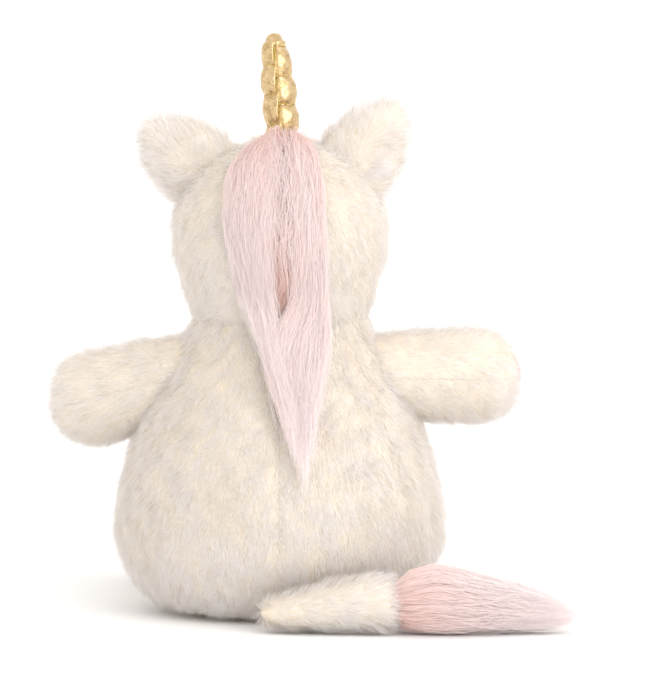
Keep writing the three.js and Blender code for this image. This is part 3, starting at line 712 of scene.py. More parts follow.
# ------------------------------------------------------------------ head
HEAD_PANELS = ["head_left_panel", "head_right_panel", "head_crown_gusset"]
head_depth = box("head_crown_gusset")[1][1] / box("head_left_panel")[1][0]
head_outline = outline_of(HEAD_PANELS, np.zeros(3), UP, head_depth)
GUSSET = box("head_crown_gusset")[1][0]
NECK_HOLD = ("torso", "head", (0, 0, NECK + 0.002), (0, 0, NECK + 0.028))
MUZZLE_LOW, MUZZLE_HIGH = box("muzzle_cover")
MUZZLE_HALF = (MUZZLE_HIGH - MUZZLE_LOW) / 2
MUZZLE = np.array([0, -0.056, (MUZZLE_LOW[2] + MUZZLE_HIGH[2]) / 2])
MUZZLE_REACH = MUZZLE[1] - MUZZLE_LOW[1]
MUZZLE_SIZE = np.array([MUZZLE_HALF[0], MUZZLE_REACH, MUZZLE_HALF[2]])


def in_muzzle(points):
    return (((points - MUZZLE) / (MUZZLE_SIZE - 0.004)) ** 2).sum(1) < 1


def comb_head(p):
    """The pile lies down and outwards from the crown, sideways from under the mane, and back from the nose."""
    lay = np.tile([0.0, 0.0, -0.8], (len(p), 1)) + p * [1, 1, 0] * 9
    lay[:, 0] += away(p[:, 0], 0.025) * smoothstep(p[:, 1], 0.0, 0.03)
    front = 1 - smoothstep(p[:, 1], -0.045, -0.01)
    from_nose = unit(p - (MUZZLE - [0, 0, -0.01]))
    return lay * (1 - 0.7 * front[:, None]) + from_nose * front[:, None]


def head():
    outline = inset(head_outline, PILE, 46, ends=0.85)
    skin = revolve(outline, UP, np.zeros(3), head_depth, 88)
    p = skin.points
    # Points near the gusset's seams are moved onto them.
    for x in (-GUSSET, GUSSET):
        near = (np.abs(p[:, 0] - x) < 0.00225) & (p[:, 2] > NECK)
        p[near, 0] = x
    seam = np.where(p[:, 2] > NECK, np.abs(np.abs(p[:, 0]) - GUSSET), FAR)
    draw_in(skin, seam, 0.0016)
    puff(skin, (seam < SEAM) | (p[:, 2] < NECK + 0.004))
    roots = [(pivot("horn_bend") + [0, 0, 0.006], 0.0095)]
    roots += [(node_points(f"eye_{side}").mean(0), 0.010) for side in ("left", "right")]
    roots += [(pivot(f"ear_{side}_fold"), 0.012) for side in ("left", "right")]
    bare = lambda points: in_muzzle(points) | (points[:, 2] < NECK) | within(points, roots)
    chin = lambda c: (c[:, 1] < -0.025) & (c[:, 2] < MUZZLE[2])
    middle = lambda c: np.abs(c[:, 0]) < GUSSET
    sides = {
        "head_left_panel": (lambda c: c[:, 0] >= GUSSET, 1.6),
        "head_right_panel": (lambda c: c[:, 0] <= -GUSSET, 1.6),
        "head_crown_gusset": (lambda c: middle(c) & ~chin(c), 1.5),
        "chin_panel": (lambda c: middle(c) & chin(c), 1.2),
    }
    for seed, (node, (keep, dense)) in enumerate(sides.items(), 20):
        cover(node, skin, keep, comb_head, NECK_HOLD, seed, bare=bare, per_mm2=dense)
    fibre_fill("head_stuffing", "head")


def muzzle():
    turns = np.linspace(0, math.pi, 30)
    # The outline's height runs along -Y, so the skin's two cross directions are X and Z.
    ball = np.stack([np.sin(turns), -np.cos(turns)], 1)
    skin = revolve(ball, (0, -1, 0), np.zeros(3), 1, 56, across=np.array([1.0, 0, 0]))
    size = MUZZLE_SIZE - 0.0024
    skin.points = skin.points * size + MUZZLE
    # A seam runs down the middle of the nose.
    seam = [(0, -0.8 * MUZZLE_REACH, 0.6 * size[2]), (0, -MUZZLE_REACH, 0), (0, -0.8 * MUZZLE_REACH, -size[2])]
    draw_in(skin, distance_to_line(skin.points, MUZZLE + np.array(seam)), 0.0012, 0.004)
    puff(skin, skin.points[:, 1] > MUZZLE[1] + 0.002, 0.0015)
    back = lambda p: np.tile([0.0, 1.0, -0.25], (len(p), 1)) + 8 * (p - MUZZLE) * [1, 0, 1]
    inside = lambda p: (p[:, 1] > MUZZLE[1] + 0.010)
    cover("muzzle_cover", skin, everything, back, "head", 26, bare=inside, per_mm2=2.2, length=0.0055, lean=0.95)
    fibre_fill("muzzle_stuffing", "head", 0.003)


# ------------------------------------------------------------------ limbs
def axis_from(joint, stuffing):
    """A stuffing is turned about its limb's axis, which runs from the pivot through the middle of its points."""
    at = pivot(joint)
    return at, unit(node_points(stuffing).mean(0) - at)


def limb(name, joint, pad, facing, pad_radius, seed, dense=1.5, tuck=None):
    """An arm or a leg, with a pad on its end. facing gives the way that the pad looks, from the limb's axis."""
    at, axis = axis_from(joint, name + "_stuffing")
    outline = inset(outline_of([f"{name}_top_panel", f"{name}_bottom_panel", f"{name}_{pad}"], at, axis), PILE, 40)
    side = unit(np.cross(axis, UP))
    up = np.cross(side, axis)
    skin = revolve(outline, axis, at, 1, 60, across=side)
    p = skin.points - at
    ahead = facing(axis)
    middle = (outline[-1, 1] - pad_radius * 0.9) * axis

    def pad_distance(q):
        """How far points are from the middle of the pad, across the way that it faces. Those behind it are FAR."""
        across = q - np.outer(q @ ahead, ahead) - (middle - (middle @ ahead) * ahead)
        return np.where((q - middle) @ ahead > 0, length_of(across), FAR)

    # The pad's edge is a seam, and its own cloth lies lower than the pile round it.
    pad_seam = np.abs(pad_distance(p) - pad_radius)
    draw_in(skin, pad_seam, 0.0022, 0.0035)
    if tuck:
        line = np.array([at + a * axis + b * up + c * side for a, b, c in tuck])
        draw_in(skin, distance_to_line(skin.points, line), 0.0065, 0.007)
    puff(skin, (np.abs(p @ up) < SEAM) | (pad_seam < 0.0012) | (p @ axis < 0.012), 0.0022)
    on_pad = lambda c: pad_distance(c - at) < pad_radius
    upper = lambda c: (c - at) @ up > 0
    comb = lambda p: np.tile(axis + [0, 0, -0.35], (len(p), 1))
    hold = ("torso", name, at + 0.012 * axis, at + 0.052 * axis)
    fur = dict(bare=lambda p: (p - at) @ axis < -0.006, per_mm2=dense)
    cover(f"{name}_top_panel", skin, lambda c: upper(c) & ~on_pad(c), comb, hold, seed, **fur)
    cover(f"{name}_bottom_panel", skin, lambda c: ~upper(c) & ~on_pad(c), comb, hold, seed + 1, **fur)
    round_pad = lambda p: np.tile(-UP, (len(p), 1)) + 0.5 * (p - at - middle) / pad_radius
    cover(f"{name}_{pad}", skin, on_pad, round_pad, name, seed + 2, length=0.0042, **PAD)
    fibre_fill(name + "_stuffing", name)


def limbs():
    hoof = lambda axis: unit([0.55 * np.sign(axis[0]), -0.83, 0])
    sole = lambda axis: axis
    # A tuck in each arm, as three points: along the limb, up, and sideways from its axis.
    left_tuck = [(0.052, -0.012, 0.020), (0.040, -0.016, 0.018), (0.026, -0.022, 0.010)]
    right_tuck = [(0.030, -0.004, -0.024), (0.052, -0.004, -0.027), (0.078, -0.003, -0.026)]
    limb("arm_left", "shoulder_left", "hoof_pad", hoof, 0.017, 30, tuck=left_tuck)
    limb("arm_right", "shoulder_right", "hoof_pad", hoof, 0.017, 34, tuck=right_tuck)
    limb("leg_left", "hip_left", "sole_pad", sole, 0.022, 38, dense=1.2)
    limb("leg_right", "hip_right", "sole_pad", sole, 0.022, 42, dense=1.2)


# ------------------------------------------------------------------ ears
# An ear's outline: half its width and its height, as shares of the CAD leaf's
EAR_OUTLINE = [(1.10, -0.30), (1.10, 0.14), (1.0, 0.40), (0.86, 0.60), (0.60, 0.80), (0.30, 0.97), (0.0, 1.06)]


def ear(name, seed):
    at = pivot(name + "_fold")
    along = unit(JOINTS[name + "_fold"]["axis"])
    up = unit(np.cross(along, [0, 1, 0]))
    p = node_points(name + "_outer_panel") - at
    leaf = np.array([np.abs(p @ along).max(), (p @ up).max()])
    shape = inset(np.array(EAR_OUTLINE) * leaf * 1.04, 0.0035, 36, soften=0.003)
    low, high = shape[0, 1], shape[-1, 1]
    turn = around(44)
    share = np.clip((shape[:, 1] - low) / (high - low), 0, 1)
    thick = 0.0100 * np.sqrt(np.maximum(1 - share**2.2, 0)) + 0.001
    back = np.maximum(np.sin(turn), 0) ** 0.8
    front = -0.35 * np.maximum(-np.sin(turn), 0) ** 0.6
    cup = 0.30 * np.maximum(-np.sin(turn), 0) ** 2.0
    depth = back + front + cup
    across = np.sign(np.cos(turn)) * np.abs(np.cos(turn)) ** 0.9
    rings = np.array([
        at + height * up + (half * across)[:, None] * along + (t * depth)[:, None] * np.array([0, 1.0, 0])
        for (half, height), t in zip(shape[1:-1], thick[1:-1])
    ])
    # A ring must turn the same way round as the ear grows.
    if np.dot(np.cross(along, [0, 1, 0]), up) < 0:
        rings = rings[:, ::-1]
    skin = Skin(rings, at + low * up, at + high * up)
    rim = np.abs((skin.points - at)[:, 1]) < 0.0012
    puff(skin, rim | ((skin.points - at) @ up < 0.004), 0.002)

    def lining(c):
        q = c - at
        height = (q @ up - low) / (high - low)
        width = np.interp(q @ up, shape[:, 1], shape[:, 0])
        return (q[:, 1] < -0.0002) & (np.abs(q @ along) < 0.78 * width) & (height > 0.24) & (height < 0.90)

    def comb(p):
        """The pile parts along the middle of the ear."""
        q = p - at
        middle = 0.004 * np.sin((q @ up) / 0.011)
        spread = 0.7 * away(q @ along - middle, 0.012)
        return 0.55 * up + [0, 0, -0.1] + spread[:, None] * along

    hold = ("head", name, at - 0.003 * up, at + 0.012 * up)
    bare = lambda p: (p - at) @ up < -0.012
    cover(name + "_outer_panel", skin, lambda c: ~lining(c), comb, hold, seed, per_mm2=1.9, length=0.0115, bare=bare)
    cover(name + "_lining", skin, lining, comb, hold, seed + 1, length=0.0045, **PAD)


# ------------------------------------------------------------------ long hair
def lock(name, guides, count, seed, levels=12, clumps=40, pull=0.42, wave=0.0012, tone=0.6, facing=None, floor=None,
         shortest=0.72, feather=0.05):
    """Long hair. guides(u, v, t) gives where the hair with the place (u, v) in the lock is at shares t of its length.
    Each hair is drawn to the leader of its clump, waves a little, and ends somewhere past a share `shortest`."""
    rng = np.random.default_rng([SEED, seed])
    count = int(count * DENSITY)
    u, v = rng.random((2, count))
    u = u + feather * rng.normal(0, 1, count)
    t = np.linspace(0, 1, levels)[None, :]
    along = t[..., None]
    paths = guides(u[:, None], v[:, None], t)
    mates = np.random.default_rng([SEED, seed, 2])
    cu, cv = mates.random((2, clumps))
    near = np.argmin((u[:, None] - cu) ** 2 + (v[:, None] - cv) ** 2, axis=1)
    shift = mates.normal(0, 1, (clumps, 1, 3)) * 0.0026 * along**1.2
    leaders = guides(cu[:, None], cv[:, None], t) + shift
    hold = pull * along**0.9 * rng.uniform(0.75, 1.05, (count, 1, 1))
    paths = paths * (1 - hold) + leaders[near] * hold
    phase = rng.uniform(0, 2 * math.pi, (count, 1, 3))
    waves = rng.uniform(0.8, 2.6, (count, 1, 3))
    stray = np.where(rng.random((count, 1, 1)) < 0.16, 3.6, 1.0)
    paths = paths + stray * wave * np.sin(phase + waves * 2 * math.pi * along) * (0.25 + along)
    # Each hair is cut short, and its levels spread again over what is left.
    at = t * (rng.uniform(shortest, 1.0, count) ** 1.3)[:, None] * (levels - 1)
    k = np.minimum(at.astype(int), levels - 2)
    f = (at - k)[..., None]
    rows = np.arange(count)[:, None]
    paths = paths[rows, k] * (1 - f) + paths[rows, k + 1] * f
    if floor is not None:
        paths[..., 2] = np.maximum(paths[..., 2], floor + rng.uniform(0, 0.0012, (count, 1)))
    tones = tone + mates.normal(0, 0.16, clumps)[near] + rng.normal(0, 0.1, count)
    if facing is None:
        # The hair shows the way out of the head, and never downwards, so that the nape isn't dark.
        normal = unit(paths - HEAD_MIDDLE)
        normal[..., 2] = np.maximum(normal[..., 2], 0.2)
        normal = unit(normal)
    else:
        normal = np.tile(unit(facing), (count, 1))
    wide = 0.00026 * rng.uniform(0.7, 1.35, count) / WIDER
    return ribbons(name, paths, normal, wide, tones, MATERIAL["hair"], rng, twist=0.9, taper=2.0)


HEAD_MIDDLE = np.array([0, 0, 0.5 * (head_outline[-1, 1] + NECK)])
NAPE = box("mane_lock_left")[0][2]
FALL_LOW = box("mane_fall")[0][2]


def onto_head(points, lift):
    """Moves points straight out from the middle of the head to the height `lift` over its CAD surface."""
    ray = unit(points - HEAD_MIDDLE)
    near, far = np.zeros(ray.shape[:-1]), np.full(ray.shape[:-1], 0.15)
    for _ in range(26):
        middle = (near + far) / 2
        p = HEAD_MIDDLE + ray * middle[..., None]
        radius = np.interp(p[..., 2], head_outline[:, 1], head_outline[:, 0], right=0)
        inside = np.hypot(p[..., 0], p[..., 1] / head_depth) < radius
        near, far = np.where(inside, middle, near), np.where(inside, far, middle)
    return HEAD_MIDDLE + ray * (near + lift)[..., None]


def back_line():
    """The line that the mane follows: over the crown, down the back of the head, and free below the nape."""
    turn = np.radians(np.linspace(-6, 130, 90))
    over = onto_head(HEAD_MIDDLE + np.stack([0 * turn, np.sin(turn), np.cos(turn)], 1) * 0.05, 0.0035)
    over = over[over[:, 2] > NAPE]
    p = node_points("mane_fall")
    heights = np.linspace(NAPE - 0.022, FALL_LOW, 8)
    near = [p[np.abs(p[:, 2] - z) < 0.020, 1] for z in heights]
    hang = [(0, 0.5 * (y.min() + y.max()), z) for y, z in zip(near, heights)]
    return spline(np.vstack([over[::6], over[-1:], hang]), 240)


BACK_LINE = back_line()
BACK_RUN = runs(BACK_LINE)
# The edges of the mane, as sideways places (in metres, + is the toy's left) at heights: the outer edge of each lock,
# the two sides of the parting between them, and the left side of the long fall below the nape.
EDGE_LEFT = [(0.016, 0.286), (0.024, 0.281), (0.031, 0.268), (0.032, 0.242), (0.029, 0.222), (0.024, 0.194),
             (0.019, 0.176)]
EDGE_RIGHT = [(-0.015, 0.286), (-0.021, 0.281), (-0.0245, 0.262), (-0.0255, 0.235), (-0.0265, 0.206), (-0.028, 0.182),
              (-0.027, 0.165), (-0.0235, 0.135), (-0.0195, 0.104), (-0.016, 0.074)]
PART_LEFT = [(0.001, 0.286), (0.003, 0.270), (0.0062, 0.240), (0.0052, 0.212), (0.0028, 0.190), (-0.0035, 0.160)]
PART_RIGHT = [(-0.007, 0.286), (-0.0095, 0.272), (-0.0115, 0.245), (-0.0110, 0.215), (-0.0100, 0.190),
              (-0.0055, 0.160)]
FALL_LEFT = [(0.020, 0.200), (0.0155, 0.178), (0.0105, 0.165), (0.002, 0.138), (-0.003, 0.120), (-0.007, 0.104),
             (-0.011, 0.085), (-0.014, 0.074)]


def run_at(z):
    """How far along the back line it comes down to a height."""
    return np.interp(-np.asarray(z), -BACK_LINE[:, 2], BACK_RUN)


def height_at(run):
    return np.interp(run, BACK_RUN, BACK_LINE[:, 2])


def edge(points, z):
    x, height = np.array(points)[::-1].T
    return np.interp(z, height, x)


def laid(x, run, lift):
    """Lays hair on the back of the head and lets it hang free below the nape. run is its place down the back line."""
    at = np.stack([0 * run] + [np.interp(run, BACK_RUN, BACK_LINE[:, k]) for k in (1, 2)], -1)
    free = smoothstep(-at[..., 2], -(NAPE + 0.020), -(NAPE - 0.012))[..., None]
    at[..., 0] = x
    on_head = onto_head(at, 0.0030)
    at[..., 1] -= 0.12 * np.abs(x)
    p = on_head * (1 - free) + at * free
    out = unit(p - HEAD_MIDDLE) * (1 - free) + np.array([0, 1.0, 0]) * free
    return p + out * np.asarray(lift)[..., None]


def swept(root, place, run, share):
    """Sideways places of hair that has gone a share of the way from its root to its place in the lock. All of it
    starts close together on the crown."""
    return root + (place * smoothstep(run, -0.006, 0.020) - root) * share


def lock_guides(outer, inner, low):
    """Hair that starts on the parting, high or low, sweeps out to its place in the lock and falls to `low`."""

    def guides(u, v, t):
        start = 0.011 + 0.065 * v**1.3
        end = run_at(low + 0.014 * (1 - u) + 0.02 * v)
        run = start + (end - start) * t
        z = height_at(run)
        root = edge(inner, z)
        place = root + (edge(outer, z) - root) * u
        lift = 0.0050 * (1 - v) * np.sin(np.clip(t * 1.3, 0, 1) * math.pi) ** 0.6 + 0.0008
        return laid(swept(root, place, run, smoothstep(t, 0.0, 0.24)), run, lift)

    return guides


def fall_guides(u, v, t):
    """Long hair from the crown, down the right lock and on to the tip of the fall."""
    start = 0.011 + 0.075 * v**1.2
    end = run_at(FALL_LOW + 0.030 * np.abs(u - 0.6) + 0.020 * v) + 0.004
    run = start + (end - start) * t
    z = height_at(run)
    join = smoothstep(-z, -0.192, -0.155)
    root = edge(PART_RIGHT, z)
    left = root * (1 - join) + edge(FALL_LEFT, z) * join
    place = left + (edge(EDGE_RIGHT, z) - left) * u
    lift = 0.004 * np.sin(np.clip(t * 2.0, 0, 1) * math.pi) ** 0.6 * (1 - v) + 0.0008 + 0.002 * v
    return laid(swept(root, place, run, smoothstep(t, 0.0, 0.16)), run, lift)


def joining_guides(u, v, t):
    """Long hair of the left lock that joins the fall and closes the parting below the nape."""
    start = 0.011 + 0.045 * v
    end = run_at(0.100 + 0.045 * v + 0.035 * u)
    run = start + (end - start) * t
    z = height_at(run)
    root = edge(PART_LEFT, z)
    join = smoothstep(-z, -0.192, -0.150)
    in_lock = root + (edge(EDGE_LEFT, z) - root) * (0.05 + 0.75 * u)
    place = in_lock * (1 - join) + (edge(FALL_LEFT, z) - 0.009 * (1 - u)) * join
    return laid(swept(root, place, run, smoothstep(t, 0.0, 0.2)), run, 0.0022 + 0.002 * (1 - v) + 0 * t)


def crossing_guides(u, v, t):
    """Loose hairs that stray over the parting from one lock to the other."""
    run = 0.010 + 0.070 * v + (0.045 + 0.055 * np.mod(7 * u, 1)) * t
    z = height_at(run)
    left, right = edge(PART_LEFT, z) + 0.005, edge(PART_RIGHT, z) - 0.005
    start, end = np.mod(13 * u, 1), np.mod(29 * v, 1)
    x = right + (left - right) * (start + (end - start) * smoothstep(t, 0.1, 1.0))
    x = x * smoothstep(run, -0.006, 0.014)
    return laid(x, run, 0.0040 + 0.0035 * np.sin(math.pi * t) - 0.003 * v)


def mane():
    left, right = lock_guides(EDGE_LEFT, PART_LEFT, 0.174), lock_guides(EDGE_RIGHT, PART_RIGHT, 0.186)
    fall_hold = ("head", "mane_fall", (0, 0.063, NAPE + 0.006), (0, 0.063, NAPE - 0.028))
    for name, node, hold, guides, count, seed, options in (
        ("mane_lock_left_hair", "mane_lock_left", "head", left, 9000, 60, dict(clumps=110, feather=0.08)),
        ("mane_lock_right_hair", "mane_lock_right", "head", right, 5000, 61, dict(clumps=80, feather=0.08)),
        ("mane_fall_hair", "mane_fall", fall_hold, fall_guides, 7800, 62,
         dict(clumps=110, feather=0.09, shortest=0.42, levels=14)),
        ("mane_fall_left_hair", None, fall_hold, joining_guides, 3600, 63,
         dict(clumps=34, feather=0.08, shortest=0.45, levels=14)),
        ("mane_crossing_hair", None, "head", crossing_guides, 420, 64, dict(clumps=90, shortest=0.5)),
    ):
        attach(lock(name, guides, count, seed, **options), "pink_hair", hold, node)
    mane_backing()


def mane_backing():
    """The knitted strip that the mane's hair is rooted in, and the short deep-coloured hair over it."""
    half = box("mane_backing")[1][0]
    n, m = 44, 12
    run = np.linspace(0.009, run_at(NAPE + 0.002), n)
    grid_run, grid_x = np.meshgrid(run, np.linspace(-half, half, m) - 0.003, indexing="ij")
    front = laid(grid_x * smoothstep(grid_run, -0.02, 0.02), grid_run, np.full(grid_x.shape, -0.0035)).reshape(-1, 3)
    i, j = np.meshgrid(np.arange(n - 1), np.arange(m - 1), indexing="ij")
    a = (i * m + j).ravel()
    sheet = halves(a, a + m, a + m + 1, a + 1)
    normals = point_normals(front, sheet)
    if (normals[:, 1] + normals[:, 2]).sum() < 0:
        sheet, normals = sheet[:, ::-1], -normals
    strip = new_object("mane_backing_strip", *shelled(front, sheet, normals), MATERIAL["pink_backing"])
    down = lambda p: np.tile([0.0, 0.6, -1.0], (len(p), 1)) + 40 * (p + [0.003, 0, 0]) * [1, 0, 0]
    roots = plant_fur("mane_backing_hair", (front, sheet, normals), down, 66, per_mm2=3.2, length=0.015,
                      material="roots", lean=0.95, cell=0.006)
    attach(strip, "pink_backing", "head", "mane_backing")
    attach(roots, "pink_backing", "head")


# ------------------------------------------------------------------ tail
def tail():
    at, axis = axis_from("tail_swing", "tail_stuffing")
    outline = inset(outline_of(["tail_sleeve"], at, axis), PILE * 0.85, 34)
    skin = revolve(outline, axis, at, 1, 48, across=UP)

    def flattened(p):
        """The sleeve is slack where it is sewn on, and lies down on the floor there."""
        height = (p - at) @ axis
        slack = 0.40 * (1 - smoothstep(height, -0.012, 0.060))[:, None]
        across = p - at - np.outer(height, axis)
        return p - slack * (across * [1, 0.5, 1] + 0.0145 * UP)

    skin.points = flattened(skin.points)
    seam = np.where((skin.points - at)[:, 2] < 0, np.abs((skin.points - at)[:, 1]), FAR)
    draw_in(skin, seam, 0.0015)
    puff(skin, (seam < SEAM) | ((skin.points - at) @ axis < 0.004), 0.002)
    hold = ("torso", "tail", at, at + 0.034 * axis)
    comb = lambda p: np.tile(axis + [0, 0, -0.15], (len(p), 1))
    cover("tail_sleeve", skin, everything, comb, hold, 70, per_mm2=2.1, length=0.0115)
    fibre_fill("tail_stuffing", "tail", shaped=flattened)
    low, high = box("tail_tuft")
    start = np.array([high[0] + 0.006, at[1] + 0.0015, at[2]])
    length = start[0] - low[0]
    # The tuft's envelope, half its height and the height of its middle, at shares of its length
    shares = [0.0, 0.05, 0.12, 0.21, 0.38, 0.53, 0.76, 1.0]
    half_height = [0.0110, 0.0160, 0.0195, 0.0208, 0.0176, 0.0146, 0.0083, 0.0008]
    middle = [0.0175, 0.0185, 0.0200, 0.0210, 0.0180, 0.0155, 0.0118, 0.0080]

    def guides(u, v, t):
        angle, ring = 2 * math.pi * u, np.sqrt(v)
        s = t * (0.80 + 0.20 * (1 - np.abs(np.sin(angle)) * 0.6) * (1 - 0.5 * ring))
        half = np.interp(s, shares, half_height)
        z = np.interp(s, shares, middle) + half * ring * np.sin(angle)
        y = start[1] + np.minimum(half, 0.018) * ring * np.cos(angle) + 0.002 * np.sin(s * 7)
        return np.stack([start[0] - length * s, y, z], -1)

    tuft = lock("tail_tuft_hair", guides, 11000, 72, clumps=70, levels=10, wave=0.0016, tone=0.7,
                facing=(0, 1, 0.5), floor=0.0006, pull=0.62)
    attach(tuft, "pink_hair", "tail", "tail_tuft")


# ------------------------------------------------------------------ horn
HORN_PIVOT, HORN_AXIS = axis_from("horn_bend", "horn_stuffing")
HORN_TOP = ((node_points("horn_cover") - HORN_PIVOT) @ HORN_AXIS).max()
HORN_SIDE = unit(np.cross([0, 1, 0], HORN_AXIS))
HORN_BACK = unit(np.cross(HORN_AXIS, HORN_SIDE))  # the way that the back seam faces
PITCH = 0.0180  # between two rows of winding
PHASE = 0.12  # how far, in pitches, the joint is above a row
TIP_HEIGHT = 0.008  # of the closed end over the last of the cone
JUMP = 0.61  # how far, in pitches, the rows step down where they cross the back seam


def row_offset(turn):
    """How far down the winding has come, in pitches, at an angle from the back seam round the horn."""
    turn = np.mod(turn, 2 * math.pi)
    quick = JUMP * smoothstep(turn, 0.0, 0.22)
    slow = (1 - JUMP) * smoothstep(turn, 1.7, 4.7)
    return quick + slow


def horn_radius(height, turn):
    cone = np.interp(height, [0.0, 0.028, 0.045, 0.062, 0.073, HORN_TOP],
                     [0.0095, 0.0108, 0.0106, 0.0092, 0.0074, 0.0050])
    wave = np.abs(np.sin(math.pi * (height / PITCH + row_offset(turn) + PHASE)))
    seam = 1 - 0.035 * np.exp(-((np.mod(turn + math.pi, 2 * math.pi) - math.pi) / 0.12) ** 2)
    return cone * (0.78 + 0.24 * wave**0.62) * seam


def round_horn(height, turn, radius):
    """Places at heights up the horn, angles from its back seam and distances from its axis."""
    out = np.cos(turn)[..., None] * HORN_BACK + np.sin(turn)[..., None] * HORN_SIDE
    return HORN_PIVOT + height[..., None] * HORN_AXIS + radius[..., None] * out


def horn():
    cone = np.linspace(-0.004, HORN_TOP - TIP_HEIGHT, 136)
    end = HORN_TOP - TIP_HEIGHT + 0.0072 * np.sin(np.linspace(0.1, math.pi / 2, 14))
    h, a = np.meshgrid(np.concatenate([cone, end]), around(120), indexing="ij")
    tip = np.clip((HORN_TOP - h) / 0.009, 0, 1)
    rounded = 0.0062 * np.sqrt(tip * (2 - tip)) + 0.02 * smoothstep(tip, 0.6, 1.0)
    r = np.minimum(horn_radius(np.maximum(h, 0), a), rounded)
    crumple = Drift(0.006, SEED + 50)(round_horn(h, a, r).reshape(-1, 3)).reshape(r.shape)
    rings = round_horn(h, a, r + 0.00022 * crumple)
    if np.dot(np.cross(HORN_BACK, HORN_SIDE), HORN_AXIS) < 0:
        rings = rings[:, ::-1]
    skin = Skin(rings, HORN_PIVOT - 0.004 * HORN_AXIS, HORN_PIVOT + (HORN_TOP - 0.0006) * HORN_AXIS)
    foil = new_object("horn_foil", skin.points, skin.triangles, MATERIAL["foil"])
    attach(foil, "gold_foil", "horn", "horn_cover")
    fibre_fill("horn_stuffing", "horn", 0.0026)
    horn_thread()


def on_horn(height, turn, lift):
    return round_horn(height, turn, horn_radius(height, turn) + lift)


def tube(points, radius, sides=6):
    """The points and triangles of a closed round tube along a line."""
    points = np.asarray(points, float)
    along = unit(np.gradient(points, axis=0))
    first = unit(np.cross(along, [0.31, 0.77, 0.55]))
    second = np.cross(along, first)
    turn = around(sides)[:, None]
    circle = first[:, None] * np.cos(turn) + second[:, None] * np.sin(turn)
    radius = radius * np.ones(len(points))
    skin = Skin(points[:, None] + circle * radius[:, None, None], points[0] - along[0] * radius[0] * 0.6,
                points[-1] + along[-1] * radius[-1] * 0.6)
    return skin.points, skin.triangles


def threads(name, pieces, material, slot, body, node):
    """One piece of many tubes."""
    starts = np.cumsum([0] + [len(points) for points, _ in pieces[:-1]])
    points = np.vstack([points for points, _ in pieces])
    triangles = np.vstack([triangles + start for (_, triangles), start in zip(pieces, starts)])
    attach(new_object(name, points, triangles, MATERIAL[material]), slot, body, node)


def horn_thread():
    rng = np.random.default_rng([SEED, 55])
    pieces = []
    # Running stitches down in each row of the winding
    for row in range(1, 6):
        for step in np.arange(0.0, 2 * math.pi, 0.26):
            angle = step + rng.normal(0, 0.02)
            ends = np.linspace(angle, angle + 0.2, 5)
            height = (row - PHASE - row_offset(ends)) * PITCH + rng.normal(0, 0.0004)
            if height.min() < 0.004 or height.max() > HORN_TOP - 0.007 or angle < 0.24:
                continue
            arch = 0.0003 + 0.0003 * np.sin(np.linspace(0, math.pi, 5))
            pieces.append(tube(on_horn(height, ends, arch), 0.00022, 5))
    # Zigzag stitches up the back seam
    heights = np.arange(0.004, HORN_TOP - 0.007, 0.0011)
    swing = np.where(np.arange(len(heights)) % 2, 0.0008, -0.0008) + rng.normal(0, 0.00012, len(heights))
    zigzag = on_horn(heights, swing / np.maximum(horn_radius(heights, 0 * heights), 0.004), 0.00025)
    fine = np.vstack([a + (b - a) * t for a, b in zip(zigzag[:-1], zigzag[1:]) for t in (0.0, 0.5)])
    pieces.append(tube(fine, 0.00020, 5))
    threads("horn_thread_stitches", pieces, "gold_thread", "gold_thread", "horn", "horn_thread")


# ------------------------------------------------------------------ face
def face():
    for side in ("left", "right"):
        eye = node_points(f"eye_{side}")
        washer = node_points(f"eye_washer_{side}")
        middle = eye.mean(0)
        axis = unit(middle - washer.mean(0))
        height = (eye - middle) @ axis
        low, top = height.min(), height.max()
        radius = length_of(eye - middle - np.outer(height, axis)).max()
        turns = np.linspace(math.pi / 2, 0.03, 16)
        dome = [(radius * math.sin(a), top - radius * 0.62 * (1 - math.cos(a))) for a in turns]
        edge_low = dome[0][1]
        shaft = [(0.0017, low), (0.0022, low + 0.0006), (0.0022, edge_low - 0.002)]
        rim = [(0.0024, edge_low - 0.001), (radius * 0.93, edge_low - 0.001), (radius * 0.985, edge_low - 0.0006)]
        skin = revolve([(0, low)] + shaft + rim + dome + [(0, top)], axis, middle, 1, 48, across=UP)
        made = new_object(f"eye_{side}_safety", skin.points, skin.triangles, MATERIAL["eye"])
        attach(made, "eye_plastic", "head", f"eye_{side}")
        washer_ring(side, axis, washer)
    # The lines of the stitching are in degrees round the middle of the muzzle: sideways, and up.
    for side, x in (("left", 1), ("right", -1)):
        stitch(f"nostril_{side}", [(x * (24 + 3 * t * t), 18 + 11 * t) for t in np.linspace(-1, 1, 22)], 0.0011)
    stitch("mouth_stitching", [(30 * t, -26 + 12 * t * t) for t in np.linspace(-1, 1, 70)], 0.0009)


def washer_ring(side, axis, points):
    middle = points.mean(0)
    offset = points - middle
    along = offset @ axis
    radius = length_of(offset - np.outer(along, axis))
    inner, outer = radius.min() + 0.0002, radius.max()
    half = (along.max() - along.min()) / 2
    u = unit(np.cross(axis, UP))
    v = np.cross(axis, u)
    section = [(inner, -half), (inner + 0.0004, half * 0.4), (inner + 0.001, half), (outer - 0.0008, half),
               (outer, half * 0.4), (outer, -half * 0.6), (outer - 0.0004, -half)]
    m, n = 48, len(section)
    rings = np.array([
        [middle + r * (math.cos(a) * u + math.sin(a) * v) + h * axis for r, h in section] for a in around(m)
    ])
    i, j = [grid.ravel() for grid in np.meshgrid(np.arange(m), np.arange(n), indexing="ij")]
    next_i, next_j = (i + 1) % m, (j + 1) % n
    a, b, c, d = i * n + j, next_i * n + j, next_i * n + next_j, i * n + next_j
    made = new_object(f"eye_washer_{side}_ring", rings.reshape(-1, 3), halves(a, b, c, d), MATERIAL["washer"])
    attach(made, "washer_plastic", "head", f"eye_washer_{side}")


